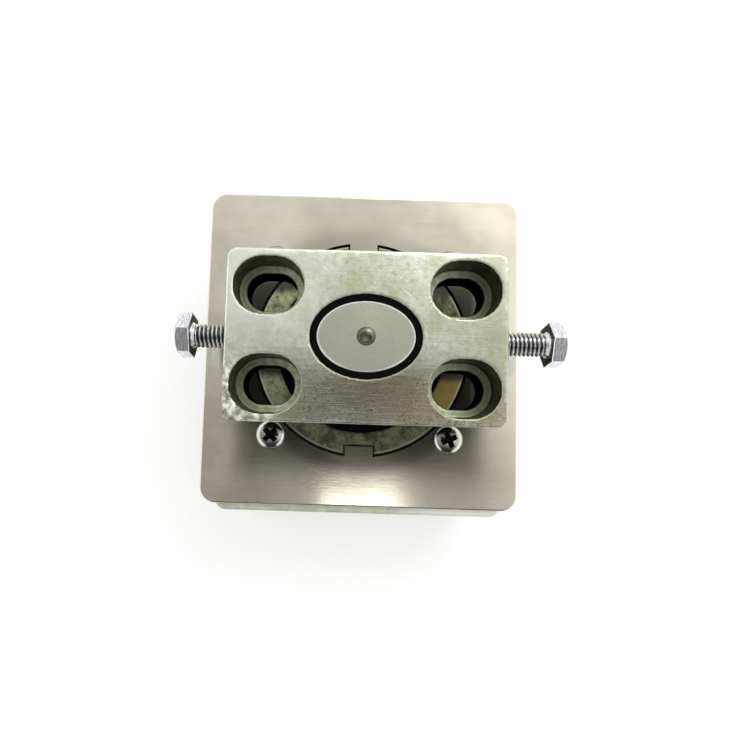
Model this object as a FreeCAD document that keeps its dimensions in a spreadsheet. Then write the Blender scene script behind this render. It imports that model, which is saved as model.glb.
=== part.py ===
import FreeCAD, Part
import math
import os
import Sketcher

# Floor pivot hinge: a casting let into the floor carries an oval spindle on a tapered roller
# bearing, and a slotted block screwed to the underside of the door drops over the spindle.
# Frame: the pivot axis is Z, Z = 0 is the underside of the casting, -Y is the front.
# All sizes are millimetres and degrees.

DRIVING_SIZES = {
    # casting in the floor
    "base_width": 77.5,
    "base_length": 84.5,
    "base_back": 40.0,
    "base_height": 31.0,
    "base_corner": 3.2,
    "base_edge_round": 0.8,
    "relief_depth": 3.4,
    "relief_gap": 1.6,
    "anchor_side_margin": 8.5,
    "anchor_back_margin": 8.0,
    "anchor_hole_radius": 3.3,
    "anchor_head_radius": 6.0,
    "anchor_head_depth": 7.0,
    # cover plate and its screws
    "plate_side": 85.0,
    "plate_corner": 4.2,
    "plate_thickness": 1.5,
    "plate_edge_round": 0.5,
    "screw_setback": 4.3,
    "screw_radius": 2.0,
    "screw_length": 10.0,
    "screw_head_radius": 4.0,
    "screw_head_height": 2.6,
    "screw_head_rim": 0.6,
    "screw_clearance": 0.25,
    "recess_reach": 2.2,
    "recess_width": 1.5,
    "recess_depth": 1.7,
    "recess_taper": 12.0,
    # gland ring that locks the bearing cup, keyed by two tabs of the cover plate
    "gland_radius": 28.7,
    "gland_wall": 5.95,
    "gland_edge_break": 0.4,
    "opening_gap": 0.65,
    "notch_width": 8.5,
    "notch_depth": 2.8,
    "notch_height": 2.5,
    "tab_gap": 0.5,
    # tapered roller bearing
    "bearing_section": 11.0,
    "cup_width": 11.5,
    "cup_hold": 0.75,
    "bearing_width": 15.0,
    "roller_count": 15,
    "roller_angle": 13.25,
    "roller_half_angle": 2.25,
    "roller_end_room": 1.0,
    "roller_drop": 0.45,
    "roller_clearance": 0.03,
    "small_rib_height": 2.3,
    "small_rib_lip": 0.9,
    "large_rib_height": 2.2,
    "large_rib_lip": 2.0,
    "cage_thickness": 1.0,
    "cage_foot": 0.9,
    "cage_head_room": 1.4,
    "cage_pocket_clearance": 0.2,
    # bush that steadies the lower end of the spindle
    "bush_bore_radius": 8.0,
    "bush_wall": 2.5,
    "bush_height": 5.0,
    "bush_play": 0.03,
    # radial shaft seal
    "seal_section": 5.25,
    "seal_lift": 0.5,
    "seal_height": 4.2,
    "seal_recess": 0.8,
    "seal_skin": 0.6,
    "seal_case_wall": 0.7,
    "lip_root": 2.2,
    "lip_wall": 1.3,
    "lip_heel": 1.5,
    "lip_edge_height": 1.3,
    "lip_gap": 0.05,
    "garter_wire_radius": 0.6,
    # spindle and the circlip that keeps the bearing cone on it
    "collar_edge_break": 0.5,
    "shaft_end_gap": 0.6,
    "shaft_shoulder": 1.0,
    "shaft_end_break": 0.8,
    "circlip_thickness": 1.2,
    "circlip_groove_depth": 0.7,
    "circlip_band": 2.6,
    "circlip_gap": 5.0,
    "spindle_length_across": 22.6,
    "spindle_width": 16.3,
    "spindle_edge_break": 0.35,
    "centre_hole_radius": 2.1,
    "centre_pilot_radius": 0.9,
    "centre_hole_depth": 2.1,
    "centre_pilot_depth": 4.0,
    # block screwed to the door, and the liner between it and the spindle
    "block_gap": 7.8,
    "block_length": 65.0,
    "block_width": 40.0,
    "block_thickness": 17.0,
    "block_corner": 2.3,
    "block_edge_round": 0.5,
    "slot_end_margin": 9.75,
    "slot_side_margin": 8.65,
    "slot_width": 9.4,
    "slot_travel": 3.0,
    "counterbore_width": 13.4,
    "counterbore_depth": 8.4,
    "liner_wall": 1.55,
    "liner_sink": 0.5,
    "spindle_play": 0.1,
    # hexagon bolts in the two ends of the block
    "bolt_radius": 3.0,
    "bolt_length": 20.0,
    "bolt_tip_break": 0.7,
    "bolt_head_flats": 9.6,
    "bolt_head_height": 3.3,
    "bolt_head_turn": 19.0,
    "bolt_head_chamfer": 30.0,
    "bolt_drop": 6.8,
    "bolt_hole_wall": 2.55,
    "left_bolt_out": 8.6,
    "right_bolt_out": 10.9,
    # common fits
    "press_gap": 0.01,
    "thread_gap": 0.03,
    "seat_gap": 0.02,
}

HEXAGON_SIDES = 6
GARTER_SIDES = 8
FULL_TURN = 360.0

doc = FreeCAD.newDocument("floor_pivot_hinge")
sheet = doc.addObject("Spreadsheet::Sheet", "Sizes")


class Size:
    """A number together with the spreadsheet formula that gives it."""

    def __init__(self, value, formula):
        self.value = value
        self.formula = formula

    def __add__(self, other):
        other = as_size(other)
        return Size(self.value + other.value, "(%s + %s)" % (self.formula, other.formula))

    def __sub__(self, other):
        other = as_size(other)
        return Size(self.value - other.value, "(%s - %s)" % (self.formula, other.formula))

    def __mul__(self, other):
        other = as_size(other)
        return Size(self.value * other.value, "(%s * %s)" % (self.formula, other.formula))

    def __truediv__(self, other):
        other = as_size(other)
        return Size(self.value / other.value, "(%s / %s)" % (self.formula, other.formula))

    def __neg__(self):
        return Size(-self.value, "(0 - %s)" % self.formula)


def as_size(number):
    if isinstance(number, Size):
        return number
    return Size(float(number), "%.6f" % number)


def tangent(angle):
    return Size(math.tan(math.radians(angle.value)), "tan(%s * 1 deg)" % angle.formula)


def sine(angle):
    return Size(math.sin(math.radians(angle.value)), "sin(%s * 1 deg)" % angle.formula)


def fill_sheet():
    """Write every driving size into the sheet and hand back the sizes by name."""
    sizes = {}
    for row, (name, number) in enumerate(DRIVING_SIZES.items(), start=1):
        cell = "B%d" % row
        sheet.set("A%d" % row, name)
        sheet.set(cell, str(number))
        sheet.setAlias(cell, name)
        sizes[name] = Size(float(number), "Sizes.%s" % name)
    doc.recompute()
    return sizes


size = fill_sheet()
ZERO = as_size(0.0)


def bind(target, path, wanted):
    target.setExpression(path, as_size(wanted).formula)


def new_body(name, height=ZERO):
    """A body whose own origin stands on the pivot axis at the given height."""
    body = doc.addObject("PartDesign::Body", name)
    body.Label = name
    bind(body, "Placement.Base.z", height)
    return body


def new_sketch(body, name, plane, offset=ZERO):
    sketch = body.newObject("Sketcher::SketchObject", name)
    support = [feature for feature in body.Origin.OriginFeatures if feature.Role == plane][0]
    sketch.AttachmentSupport = [(support, "")]
    sketch.MapMode = "FlatFace"
    bind(sketch, "AttachmentOffset.Base.z", offset)
    return sketch


def fix_value(sketch, constraint, wanted):
    index = sketch.addConstraint(constraint)
    bind(sketch, "Constraints[%d]" % index, wanted)


def pin_point(sketch, geometry, point, across, up):
    across = as_size(across)
    up = as_size(up)
    fix_value(sketch, Sketcher.Constraint("DistanceX", -1, 1, geometry, point, across.value), across)
    fix_value(sketch, Sketcher.Constraint("DistanceY", -1, 1, geometry, point, up.value), up)


def draw_polygon(sketch, corners):
    """A closed outline of straight lines through corners given as pairs of sizes."""
    corners = [(as_size(across), as_size(up)) for across, up in corners]
    points = [FreeCAD.Vector(across.value, up.value, 0) for across, up in corners]
    first = sketch.GeometryCount
    count = len(points)
    for index in range(count):
        sketch.addGeometry(Part.LineSegment(points[index], points[(index + 1) % count]), False)
    for index in range(count):
        following = first + (index + 1) % count
        sketch.addConstraint(Sketcher.Constraint("Coincident", first + index, 2, following, 1))
    for index, (across, up) in enumerate(corners):
        pin_point(sketch, first + index, 1, across, up)


def draw_rectangle(sketch, left, right, bottom, top):
    draw_polygon(sketch, [(left, bottom), (right, bottom), (right, top), (left, top)])


def draw_cross(sketch, reach, half_width):
    """A cross with square inner corners about the sketch's origin."""
    corners = []
    for across, up in ((1, 0), (0, 1), (-1, 0), (0, -1)):
        near = (reach * across + half_width * up, reach * up - half_width * across)
        far = (reach * across - half_width * up, reach * up + half_width * across)
        inner = (half_width * (across - up), half_width * (up + across))
        corners.extend([near, far, inner])
    draw_polygon(sketch, corners)


def draw_circle(sketch, across, up, radius):
    across = as_size(across)
    up = as_size(up)
    centre = FreeCAD.Vector(across.value, up.value, 0)
    normal = FreeCAD.Vector(0, 0, 1)
    circle = sketch.addGeometry(Part.Circle(centre, normal, radius.value), False)
    pin_point(sketch, circle, 3, across, up)
    fix_value(sketch, Sketcher.Constraint("Radius", circle, radius.value), radius)


def draw_ellipse(sketch, length, width):
    """An ellipse about the sketch's origin, with its long axis across."""
    along = FreeCAD.Vector(length.value / 2, 0, 0)
    beside = FreeCAD.Vector(0, width.value / 2, 0)
    ellipse = sketch.addGeometry(Part.Ellipse(along, beside, FreeCAD.Vector(0, 0, 0)), False)
    sketch.exposeInternalGeometry(ellipse)
    long_axis = ellipse + 1
    short_axis = ellipse + 2
    sketch.addConstraint(Sketcher.Constraint("Coincident", ellipse, 3, -1, 1))
    sketch.addConstraint(Sketcher.Constraint("Horizontal", long_axis))
    fix_value(sketch, Sketcher.Constraint("Distance", long_axis, length.value), length)
    fix_value(sketch, Sketcher.Constraint("Distance", short_axis, width.value), width)


def draw_slot(sketch, across, up, travel, width):
    """A slot with round ends: the end centres stand travel apart along the sketch's X."""
    left = across - travel / 2
    right = across + travel / 2
    radius = width / 2
    normal = FreeCAD.Vector(0, 0, 1)
    left_centre = FreeCAD.Vector(left.value, up.value, 0)
    right_centre = FreeCAD.Vector(right.value, up.value, 0)
    rise = FreeCAD.Vector(0, radius.value, 0)
    quarter = math.pi / 2
    right_circle = Part.Circle(right_centre, normal, radius.value)
    left_circle = Part.Circle(left_centre, normal, radius.value)
    right_end = sketch.addGeometry(Part.ArcOfCircle(right_circle, -quarter, quarter), False)
    top = sketch.addGeometry(Part.LineSegment(right_centre + rise, left_centre + rise), False)
    left_end = sketch.addGeometry(Part.ArcOfCircle(left_circle, quarter, 3 * quarter), False)
    bottom = sketch.addGeometry(Part.LineSegment(left_centre - rise, right_centre - rise), False)
    loop = [right_end, top, left_end, bottom]
    for index in range(4):
        following = loop[(index + 1) % 4]
        sketch.addConstraint(Sketcher.Constraint("Tangent", loop[index], 2, following, 1))
    pin_point(sketch, right_end, 3, right, up)
    pin_point(sketch, left_end, 3, left, up)
    fix_value(sketch, Sketcher.Constraint("Radius", right_end, radius.value), radius)


def extrude(body, kind, name, sketch, length=None, backwards=False):
    """A Pad or Pocket of a sketch; a Pocket without a length goes through everything."""
    feature = body.newObject("PartDesign::%s" % kind, name)
    feature.Profile = sketch
    feature.Reversed = backwards
    if length is None:
        feature.Type = "ThroughAll"
    else:
        bind(feature, "Length", length)
    return feature


def spin(body, kind, name, corners):
    """A Revolution or Groove about Z of a profile of (radius, height) corners."""
    sketch = new_sketch(body, name + "_profile", "XZ_Plane")
    draw_polygon(sketch, corners)
    feature = body.newObject("PartDesign::%s" % kind, name)
    feature.Profile = sketch
    feature.ReferenceAxis = (sketch, ["V_Axis"])
    feature.Angle = FULL_TURN
    return feature


def edges_where(shape, wanted):
    return ["Edge%d" % (index + 1) for index, edge in enumerate(shape.Edges) if wanted(edge)]


def is_upright(edge):
    box = edge.BoundBox
    return box.ZLength > 1e-3 and box.XLength < 1e-6 and box.YLength < 1e-6


def lies_at(edge, height):
    box = edge.BoundBox
    return abs(box.ZMin - height.value) < 1e-6 and abs(box.ZMax - height.value) < 1e-6


def dress(body, kind, name, base, wanted, amount):
    """A Fillet or Chamfer on the edges of the last feature that the test picks."""
    doc.recompute()
    feature = body.newObject("PartDesign::%s" % kind, name)
    feature.Base = (base, edges_where(base.Shape, wanted))
    bind(feature, "Radius" if kind == "Fillet" else "Size", amount)
    return feature


def four_corners(across, along):
    """Plus and minus half of two pitches, as the centres of a rectangular pattern."""
    halves = []
    for side in (1, -1):
        for end in (1, -1):
            halves.append((across / 2 * side, along / 2 * end))
    return halves


def mirrored(source, name, normal):
    copy = doc.addObject("Part::Mirroring", name)
    copy.Source = source
    copy.Normal = normal
    return copy


def compound(name, members):
    group = doc.addObject("Part::Compound", name)
    group.Label = name
    group.Links = members
    return group


# Radii from the gland ring inwards: its bore, the bearing cup that it holds down, the bearing
# bore and the spindle's collar inside the seal.
gland_bore = size["gland_radius"] - size["gland_wall"]
cup_radius = gland_bore + size["cup_hold"]
cone_bore_radius = cup_radius - size["bearing_section"]
collar_radius = gland_bore - size["seal_section"]

# The plate's opening round the gland ring, and the screws set back from its edge.
opening_radius = size["gland_radius"] + size["opening_gap"]
screw_pitch = (opening_radius + size["screw_setback"]) * math.sqrt(2)

# Heights, stacked down from the top of the cover plate to the bearing's seat.
plate_top = size["base_height"] + size["plate_thickness"]
seal_bottom = plate_top - size["seal_recess"] - size["seal_height"]
collar_bottom = seal_bottom - size["seal_lift"]
seat_height = collar_bottom - size["bearing_width"]
cup_top = seat_height + size["cup_width"]
collar_top = plate_top + size["block_gap"]

# Bearing layout: roller axis, cup raceway and cone raceway meet at one apex on the pivot axis.
race_bottom = size["small_rib_height"]
race_top = size["bearing_width"] - size["large_rib_height"]
roller_length = race_top - race_bottom - size["roller_end_room"]
roller_middle = (race_bottom + race_top) / 2 - size["roller_drop"]
pitch_radius = (cup_radius + cone_bore_radius) / 2
apex_height = roller_middle - pitch_radius / tangent(size["roller_angle"])
cup_slope = tangent(size["roller_angle"] + size["roller_half_angle"])
cone_slope = tangent(size["roller_angle"] - size["roller_half_angle"])
cage_slope = tangent(size["roller_angle"])

# The oval socket of the block, round the spindle and its liner.
hole_length = size["spindle_length_across"] + (size["spindle_play"] + size["liner_wall"]) * 2
hole_width = size["spindle_width"] + (size["spindle_play"] + size["liner_wall"]) * 2

# Circlip groove on the spindle, straight below the bearing cone.
clip_top = seat_height - size["seat_gap"]
clip_bottom = clip_top - size["circlip_thickness"]
journal = cone_bore_radius - size["press_gap"]
groove_radius = journal - size["circlip_groove_depth"]
clip_inner = groove_radius + size["press_gap"]
clip_outer = clip_inner + size["circlip_band"]

# Relief under the bearing, and the pocket of the lower bush below it.
relief_radius = clip_outer + size["relief_gap"]
relief_floor = seat_height - size["relief_depth"]
bush_radius = size["bush_bore_radius"] + size["bush_wall"]
bush_floor = relief_floor - size["bush_height"]


def make_base_casting():
    """Cast block with the stepped bearing bore, floor anchor holes and tapped cover screw holes."""
    body = new_body("base_casting")
    half_width = size["base_width"] / 2
    front = size["base_back"] - size["base_length"]
    outline = new_sketch(body, "base_outline", "XY_Plane")
    draw_rectangle(outline, -half_width, half_width, front, size["base_back"])
    block = extrude(body, "Pad", "base_block", outline, size["base_height"])
    corners = dress(body, "Fillet", "base_corners", block, is_upright, size["base_corner"])
    top = size["base_height"]
    dress(body, "Fillet", "base_rim", corners, lambda edge: lies_at(edge, top), size["base_edge_round"])
    gland_hole = size["gland_radius"] + size["thread_gap"]
    cup_hole = cup_radius + size["press_gap"]
    bush_hole = bush_radius + size["press_gap"]
    spin(body, "Groove", "bearing_bore", [
        (ZERO, bush_floor),
        (bush_hole, bush_floor),
        (bush_hole, relief_floor),
        (relief_radius, relief_floor),
        (relief_radius, seat_height),
        (cup_hole, seat_height),
        (cup_hole, cup_top),
        (gland_hole, cup_top),
        (gland_hole, top),
        (ZERO, top),
    ])
    anchors = new_sketch(body, "anchor_centres", "XY_Plane", top)
    heads = new_sketch(body, "anchor_head_centres", "XY_Plane", top)
    anchor_across = size["base_width"] - size["anchor_side_margin"] * 2
    anchor_along = (size["base_back"] - size["anchor_back_margin"]) * 2
    for across, along in four_corners(anchor_across, anchor_along):
        draw_circle(anchors, across, along, size["anchor_hole_radius"])
        draw_circle(heads, across, along, size["anchor_head_radius"])
    extrude(body, "Pocket", "anchor_holes", anchors)
    extrude(body, "Pocket", "anchor_heads", heads, size["anchor_head_depth"])
    taps = new_sketch(body, "screw_centres", "XY_Plane", top)
    for across, along in four_corners(screw_pitch, screw_pitch):
        draw_circle(taps, across, along, size["screw_radius"] + size["thread_gap"])
    extrude(body, "Pocket", "screw_taps", taps, size["screw_length"])
    return body


def make_cover_plate():
    """Square stainless plate with a round opening and two inward tabs that key the gland ring."""
    body = new_body("cover_plate", size["base_height"])
    half_side = size["plate_side"] / 2
    outline = new_sketch(body, "plate_outline", "XY_Plane")
    draw_rectangle(outline, -half_side, half_side, -half_side, half_side)
    slab = extrude(body, "Pad", "plate_slab", outline, size["plate_thickness"])
    corners = dress(body, "Fillet", "plate_corners", slab, is_upright, size["plate_corner"])
    top = size["plate_thickness"]
    dress(body, "Fillet", "plate_rim", corners, lambda edge: lies_at(edge, top), size["plate_edge_round"])
    opening = new_sketch(body, "plate_opening", "XY_Plane", top)
    draw_circle(opening, ZERO, ZERO, opening_radius)
    for across, along in four_corners(screw_pitch, screw_pitch):
        draw_circle(opening, across, along, size["screw_radius"] + size["screw_clearance"])
    extrude(body, "Pocket", "plate_holes", opening)
    tabs = new_sketch(body, "plate_tabs", "XY_Plane")
    tab_half = size["notch_width"] / 2 - size["tab_gap"]
    tip = size["gland_radius"] - size["notch_depth"] + size["tab_gap"]
    root = opening_radius + size["plate_thickness"] / 2
    draw_rectangle(tabs, -tab_half, tab_half, tip, root)
    draw_rectangle(tabs, -tab_half, tab_half, -root, -tip)
    extrude(body, "Pad", "tabs", tabs, size["plate_thickness"])
    return body


def make_cover_screws():
    """Four pan-head machine screws with a cross recess that hold the cover plate down."""
    screw = new_body("cover_screw", plate_top)
    half_pitch = screw_pitch / 2
    bind(screw, "Placement.Base.x", half_pitch)
    bind(screw, "Placement.Base.y", half_pitch)
    shank = size["screw_radius"]
    tip = size["plate_thickness"] + size["press_gap"] - size["screw_length"]
    crown = size["screw_head_height"]
    turning = spin(screw, "Revolution", "screw_turning", [
        (ZERO, tip),
        (shank, tip),
        (shank, ZERO),
        (size["screw_head_radius"], ZERO),
        (size["screw_head_radius"], crown),
        (ZERO, crown),
    ])
    at_crown = lambda edge: lies_at(edge, crown)
    dress(screw, "Fillet", "screw_dome", turning, at_crown, crown - size["screw_head_rim"])
    recess = new_sketch(screw, "recess_outline", "XY_Plane", crown)
    half_width = size["recess_width"] / 2
    draw_cross(recess, size["recess_reach"], half_width)
    cut = extrude(screw, "Pocket", "cross_recess", recess, size["recess_depth"])
    bind(cut, "TaperAngle", -size["recess_taper"])
    front = mirrored(screw, "cover_screw_front", FreeCAD.Vector(0, 1, 0))
    pair = compound("cover_screw_pair", [screw, front])
    opposite = mirrored(pair, "cover_screw_pair_left", FreeCAD.Vector(1, 0, 0))
    return compound("cover_screws", [pair, opposite])


def make_gland_ring():
    """Threaded ring, flush with the plate, that holds the bearing cup and carries the seal."""
    body = new_body("gland_ring", cup_top)
    height = plate_top - cup_top
    edge = size["gland_edge_break"]
    spin(body, "Revolution", "ring_turning", [
        (gland_bore, ZERO),
        (size["gland_radius"], ZERO),
        (size["gland_radius"], height - edge),
        (size["gland_radius"] - edge, height),
        (gland_bore + edge, height),
        (gland_bore, height - edge),
    ])
    notches = new_sketch(body, "key_notches", "XY_Plane", height)
    half = size["notch_width"] / 2
    inner = size["gland_radius"] - size["notch_depth"]
    outer = size["gland_radius"] + size["notch_depth"]
    draw_rectangle(notches, -half, half, inner, outer)
    draw_rectangle(notches, -half, half, -outer, -inner)
    extrude(body, "Pocket", "notches", notches, size["notch_height"])
    return body


def make_bearing_cup():
    """Outer ring of the bearing, pressed into the casting, with its wide mouth upwards."""
    body = new_body("bearing_cup", seat_height)
    spin(body, "Revolution", "cup_turning", [
        (-apex_height * cup_slope, ZERO),
        (cup_radius, ZERO),
        (cup_radius, size["cup_width"]),
        ((size["cup_width"] - apex_height) * cup_slope, size["cup_width"]),
    ])
    return body


def make_bearing_cone():
    """Inner ring of the bearing, with a guiding rib at each end of its raceway."""
    body = new_body("bearing_cone", seat_height)
    low_race = (race_bottom - apex_height) * cone_slope
    high_race = (race_top - apex_height) * cone_slope
    spin(body, "Revolution", "cone_turning", [
        (cone_bore_radius, ZERO),
        (low_race + size["small_rib_lip"], ZERO),
        (low_race + size["small_rib_lip"], race_bottom),
        (low_race, race_bottom),
        (high_race, race_top),
        (high_race + size["large_rib_lip"], race_top),
        (high_race + size["large_rib_lip"], size["bearing_width"]),
        (cone_bore_radius, size["bearing_width"]),
    ])
    return body


def roller_ring(name, growth):
    """The ring of tapered rollers, each grown by the given amount on its radius and ends."""
    lean = math.radians(size["roller_angle"].value)
    apex_reach = pitch_radius / sine(size["roller_angle"])
    half_length = roller_length / 2 + growth
    taper = tangent(size["roller_half_angle"])
    start = (apex_reach - half_length).value
    apex_z = (seat_height + apex_height).value
    count = int(size["roller_count"].value)
    members = []
    for index in range(count):
        turn = 2 * math.pi * index / count
        roller = doc.addObject("Part::Cone", "%s_%d" % (name, index + 1))
        bind(roller, "Radius1", (apex_reach - half_length) * taper + growth)
        bind(roller, "Radius2", (apex_reach + half_length) * taper + growth)
        bind(roller, "Height", half_length * 2)
        outwards = FreeCAD.Vector(math.cos(turn), math.sin(turn), 0)
        axis = outwards * math.sin(lean) + FreeCAD.Vector(0, 0, math.cos(lean))
        foot = axis * start + FreeCAD.Vector(0, 0, apex_z)
        roller.Placement = FreeCAD.Placement(foot, FreeCAD.Rotation(FreeCAD.Vector(0, 0, 1), axis))
        members.append(roller)
    return compound(name, members)


def make_bearing_cage():
    """Pressed conical cage with one pocket for each roller."""
    blank = new_body("cage_blank", seat_height)
    half_wall = size["cage_thickness"] / 2
    foot = size["cage_foot"]
    head = size["bearing_width"] - size["cage_head_room"]
    foot_radius = (foot - apex_height) * cage_slope
    head_radius = (head - apex_height) * cage_slope
    spin(blank, "Revolution", "cage_turning", [
        (foot_radius - half_wall, foot),
        (foot_radius + half_wall, foot),
        (head_radius + half_wall, head),
        (head_radius - half_wall, head),
    ])
    cage = doc.addObject("Part::Cut", "bearing_cage")
    cage.Label = "bearing_cage"
    cage.Base = blank
    cage.Tool = roller_ring("cage_pockets", size["cage_pocket_clearance"])
    return cage


def make_lower_bush():
    """Bronze sleeve pressed into the floor of the casting, round the end of the spindle."""
    body = new_body("lower_bush", bush_floor)
    spin(body, "Revolution", "bush_turning", [
        (size["bush_bore_radius"], ZERO),
        (bush_radius, ZERO),
        (bush_radius, size["bush_height"]),
        (size["bush_bore_radius"], size["bush_height"]),
    ])
    return body


# Seal layout, counted from the underside of the seal.
seal_radius = gland_bore - size["press_gap"]
skin_bottom = size["seal_height"] - size["seal_skin"]
flange_bottom = skin_bottom - size["seal_case_wall"]


def make_seal_case():
    """Steel stiffening ring of the shaft seal, an angle in section."""
    body = new_body("seal_case", seal_bottom)
    inner = seal_radius - size["seal_case_wall"]
    flange = collar_radius + size["lip_root"] + size["seat_gap"]
    spin(body, "Revolution", "case_turning", [
        (seal_radius, ZERO),
        (seal_radius, skin_bottom),
        (flange, skin_bottom),
        (flange, flange_bottom),
        (inner, flange_bottom),
        (inner, ZERO),
    ])
    return body


def make_seal_lip():
    """Rubber of the shaft seal: top skin, sealing edge on the collar, and a seat for the spring."""
    body = new_body("seal_lip", seal_bottom)
    root = collar_radius + size["lip_root"]
    heel = collar_radius + size["lip_heel"]
    bore = root - size["lip_wall"]
    edge = size["lip_edge_height"]
    wire = size["garter_wire_radius"]
    spin(body, "Revolution", "lip_moulding", [
        (seal_radius, size["seal_height"]),
        (seal_radius, skin_bottom),
        (root, skin_bottom),
        (root, edge + wire * 2),
        (heel, edge + wire + size["seat_gap"]),
        (heel, edge - wire),
        (bore, edge - wire * 2),
        (collar_radius + size["lip_gap"], edge),
        (bore, edge + wire * 2),
        (bore, skin_bottom),
        (collar_radius + size["lip_gap"], size["seal_height"]),
    ])
    return body


def make_garter_spring():
    """Closed coil spring round the sealing lip, drawn as the ring that it fills."""
    body = new_body("garter_spring", seal_bottom + size["lip_edge_height"])
    wire = size["garter_wire_radius"]
    middle = collar_radius + size["lip_heel"] + wire + size["seat_gap"]
    corners = []
    for index in range(GARTER_SIDES):
        turn = 2 * math.pi * (index + 0.5) / GARTER_SIDES
        corners.append((middle + wire * math.cos(turn), wire * math.sin(turn)))
    spin(body, "Revolution", "spring_ring", corners)
    return body


spindle_top = collar_top + size["block_thickness"]


def make_spindle():
    """Turned shaft with a collar that carries the block and an oval head that drives it."""
    body = new_body("spindle")
    break_edge = size["collar_edge_break"]
    end = bush_floor + size["shaft_end_gap"]
    end_break = size["shaft_end_break"]
    stub = size["bush_bore_radius"] - size["bush_play"]
    shoulder = clip_bottom - size["shaft_shoulder"]
    spin(body, "Revolution", "shaft_turning", [
        (ZERO, end),
        (stub - end_break, end),
        (stub, end + end_break),
        (stub, shoulder),
        (journal, shoulder),
        (journal, clip_bottom),
        (groove_radius, clip_bottom),
        (groove_radius, clip_top),
        (journal, clip_top),
        (journal, collar_bottom),
        (collar_radius, collar_bottom),
        (collar_radius, collar_top - break_edge),
        (collar_radius - break_edge, collar_top),
        (ZERO, collar_top),
    ])
    oval = new_sketch(body, "oval_outline", "XY_Plane", collar_top)
    draw_ellipse(oval, size["spindle_length_across"], size["spindle_width"])
    head = extrude(body, "Pad", "oval_head", oval, size["block_thickness"])
    at_top = lambda edge: lies_at(edge, spindle_top)
    dress(body, "Chamfer", "oval_edge", head, at_top, size["spindle_edge_break"])
    pilot = size["centre_pilot_radius"]
    spin(body, "Groove", "centre_hole", [
        (ZERO, spindle_top),
        (size["centre_hole_radius"], spindle_top),
        (pilot, spindle_top - size["centre_hole_depth"]),
        (pilot, spindle_top - size["centre_pilot_depth"]),
        (ZERO, spindle_top - size["centre_pilot_depth"]),
    ])
    return body


def make_cone_circlip():
    """Open spring ring that keeps the bearing cone on the spindle."""
    body = new_body("cone_circlip", clip_bottom + size["seat_gap"] / 2)
    thickness = size["circlip_thickness"] - size["seat_gap"]
    spin(body, "Revolution", "clip_ring", [
        (clip_inner, ZERO),
        (clip_outer, ZERO),
        (clip_outer, thickness),
        (clip_inner, thickness),
    ])
    gap = new_sketch(body, "clip_gap", "XY_Plane", thickness)
    half = size["circlip_gap"] / 2
    draw_rectangle(gap, -half, half, clip_inner / 2, clip_outer * 2)
    extrude(body, "Pocket", "clip_opening", gap)
    return body


def make_door_block():
    """Zinc-plated block with four counterbored door slots, an oval socket and two end threads."""
    body = new_body("door_block", collar_top)
    half_length = size["block_length"] / 2
    half_width = size["block_width"] / 2
    thickness = size["block_thickness"]
    outline = new_sketch(body, "block_outline", "XY_Plane")
    draw_rectangle(outline, -half_length, half_length, -half_width, half_width)
    slab = extrude(body, "Pad", "block_slab", outline, thickness)
    corners = dress(body, "Fillet", "block_corners", slab, is_upright, size["block_corner"])
    at_faces = lambda edge: lies_at(edge, thickness) or lies_at(edge, ZERO)
    dress(body, "Fillet", "block_rims", corners, at_faces, size["block_edge_round"])
    socket = new_sketch(body, "socket_outline", "XY_Plane", thickness)
    draw_ellipse(socket, hole_length, hole_width)
    extrude(body, "Pocket", "oval_socket", socket)
    slots = new_sketch(body, "slot_outlines", "XY_Plane", thickness)
    heads = new_sketch(body, "counterbore_outlines", "XY_Plane", thickness)
    slot_across = size["block_length"] - size["slot_end_margin"] * 2
    slot_along = size["block_width"] - size["slot_side_margin"] * 2
    for across, along in four_corners(slot_across, slot_along):
        draw_slot(slots, across, along, size["slot_travel"], size["slot_width"])
        draw_slot(heads, across, along, size["slot_travel"], size["counterbore_width"])
    extrude(body, "Pocket", "door_slots", slots)
    extrude(body, "Pocket", "counterbores", heads, size["counterbore_depth"])
    thread_radius = size["bolt_radius"] + size["thread_gap"]
    thread_depth = half_length - hole_length / 2 - size["bolt_hole_wall"]
    for name, end, backwards in (("right", half_length, False), ("left", -half_length, True)):
        mouth = new_sketch(body, name + "_thread_mouth", "YZ_Plane", end)
        draw_circle(mouth, ZERO, thickness - size["bolt_drop"], thread_radius)
        extrude(body, "Pocket", name + "_end_thread", mouth, thread_depth, backwards)
    return body


def make_spindle_liner():
    """Black nylon sleeve between the oval socket of the block and the spindle."""
    body = new_body("spindle_liner", collar_top)
    gap = size["press_gap"] * 2
    outer = new_sketch(body, "liner_outside", "XY_Plane")
    draw_ellipse(outer, hole_length - gap, hole_width - gap)
    height = size["block_thickness"] - size["liner_sink"]
    extrude(body, "Pad", "liner_wall", outer, height)
    inner = new_sketch(body, "liner_inside", "XY_Plane", height)
    play = size["spindle_play"] * 2
    draw_ellipse(inner, size["spindle_length_across"] + play, size["spindle_width"] + play)
    extrude(body, "Pocket", "liner_bore", inner)
    return body


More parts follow.
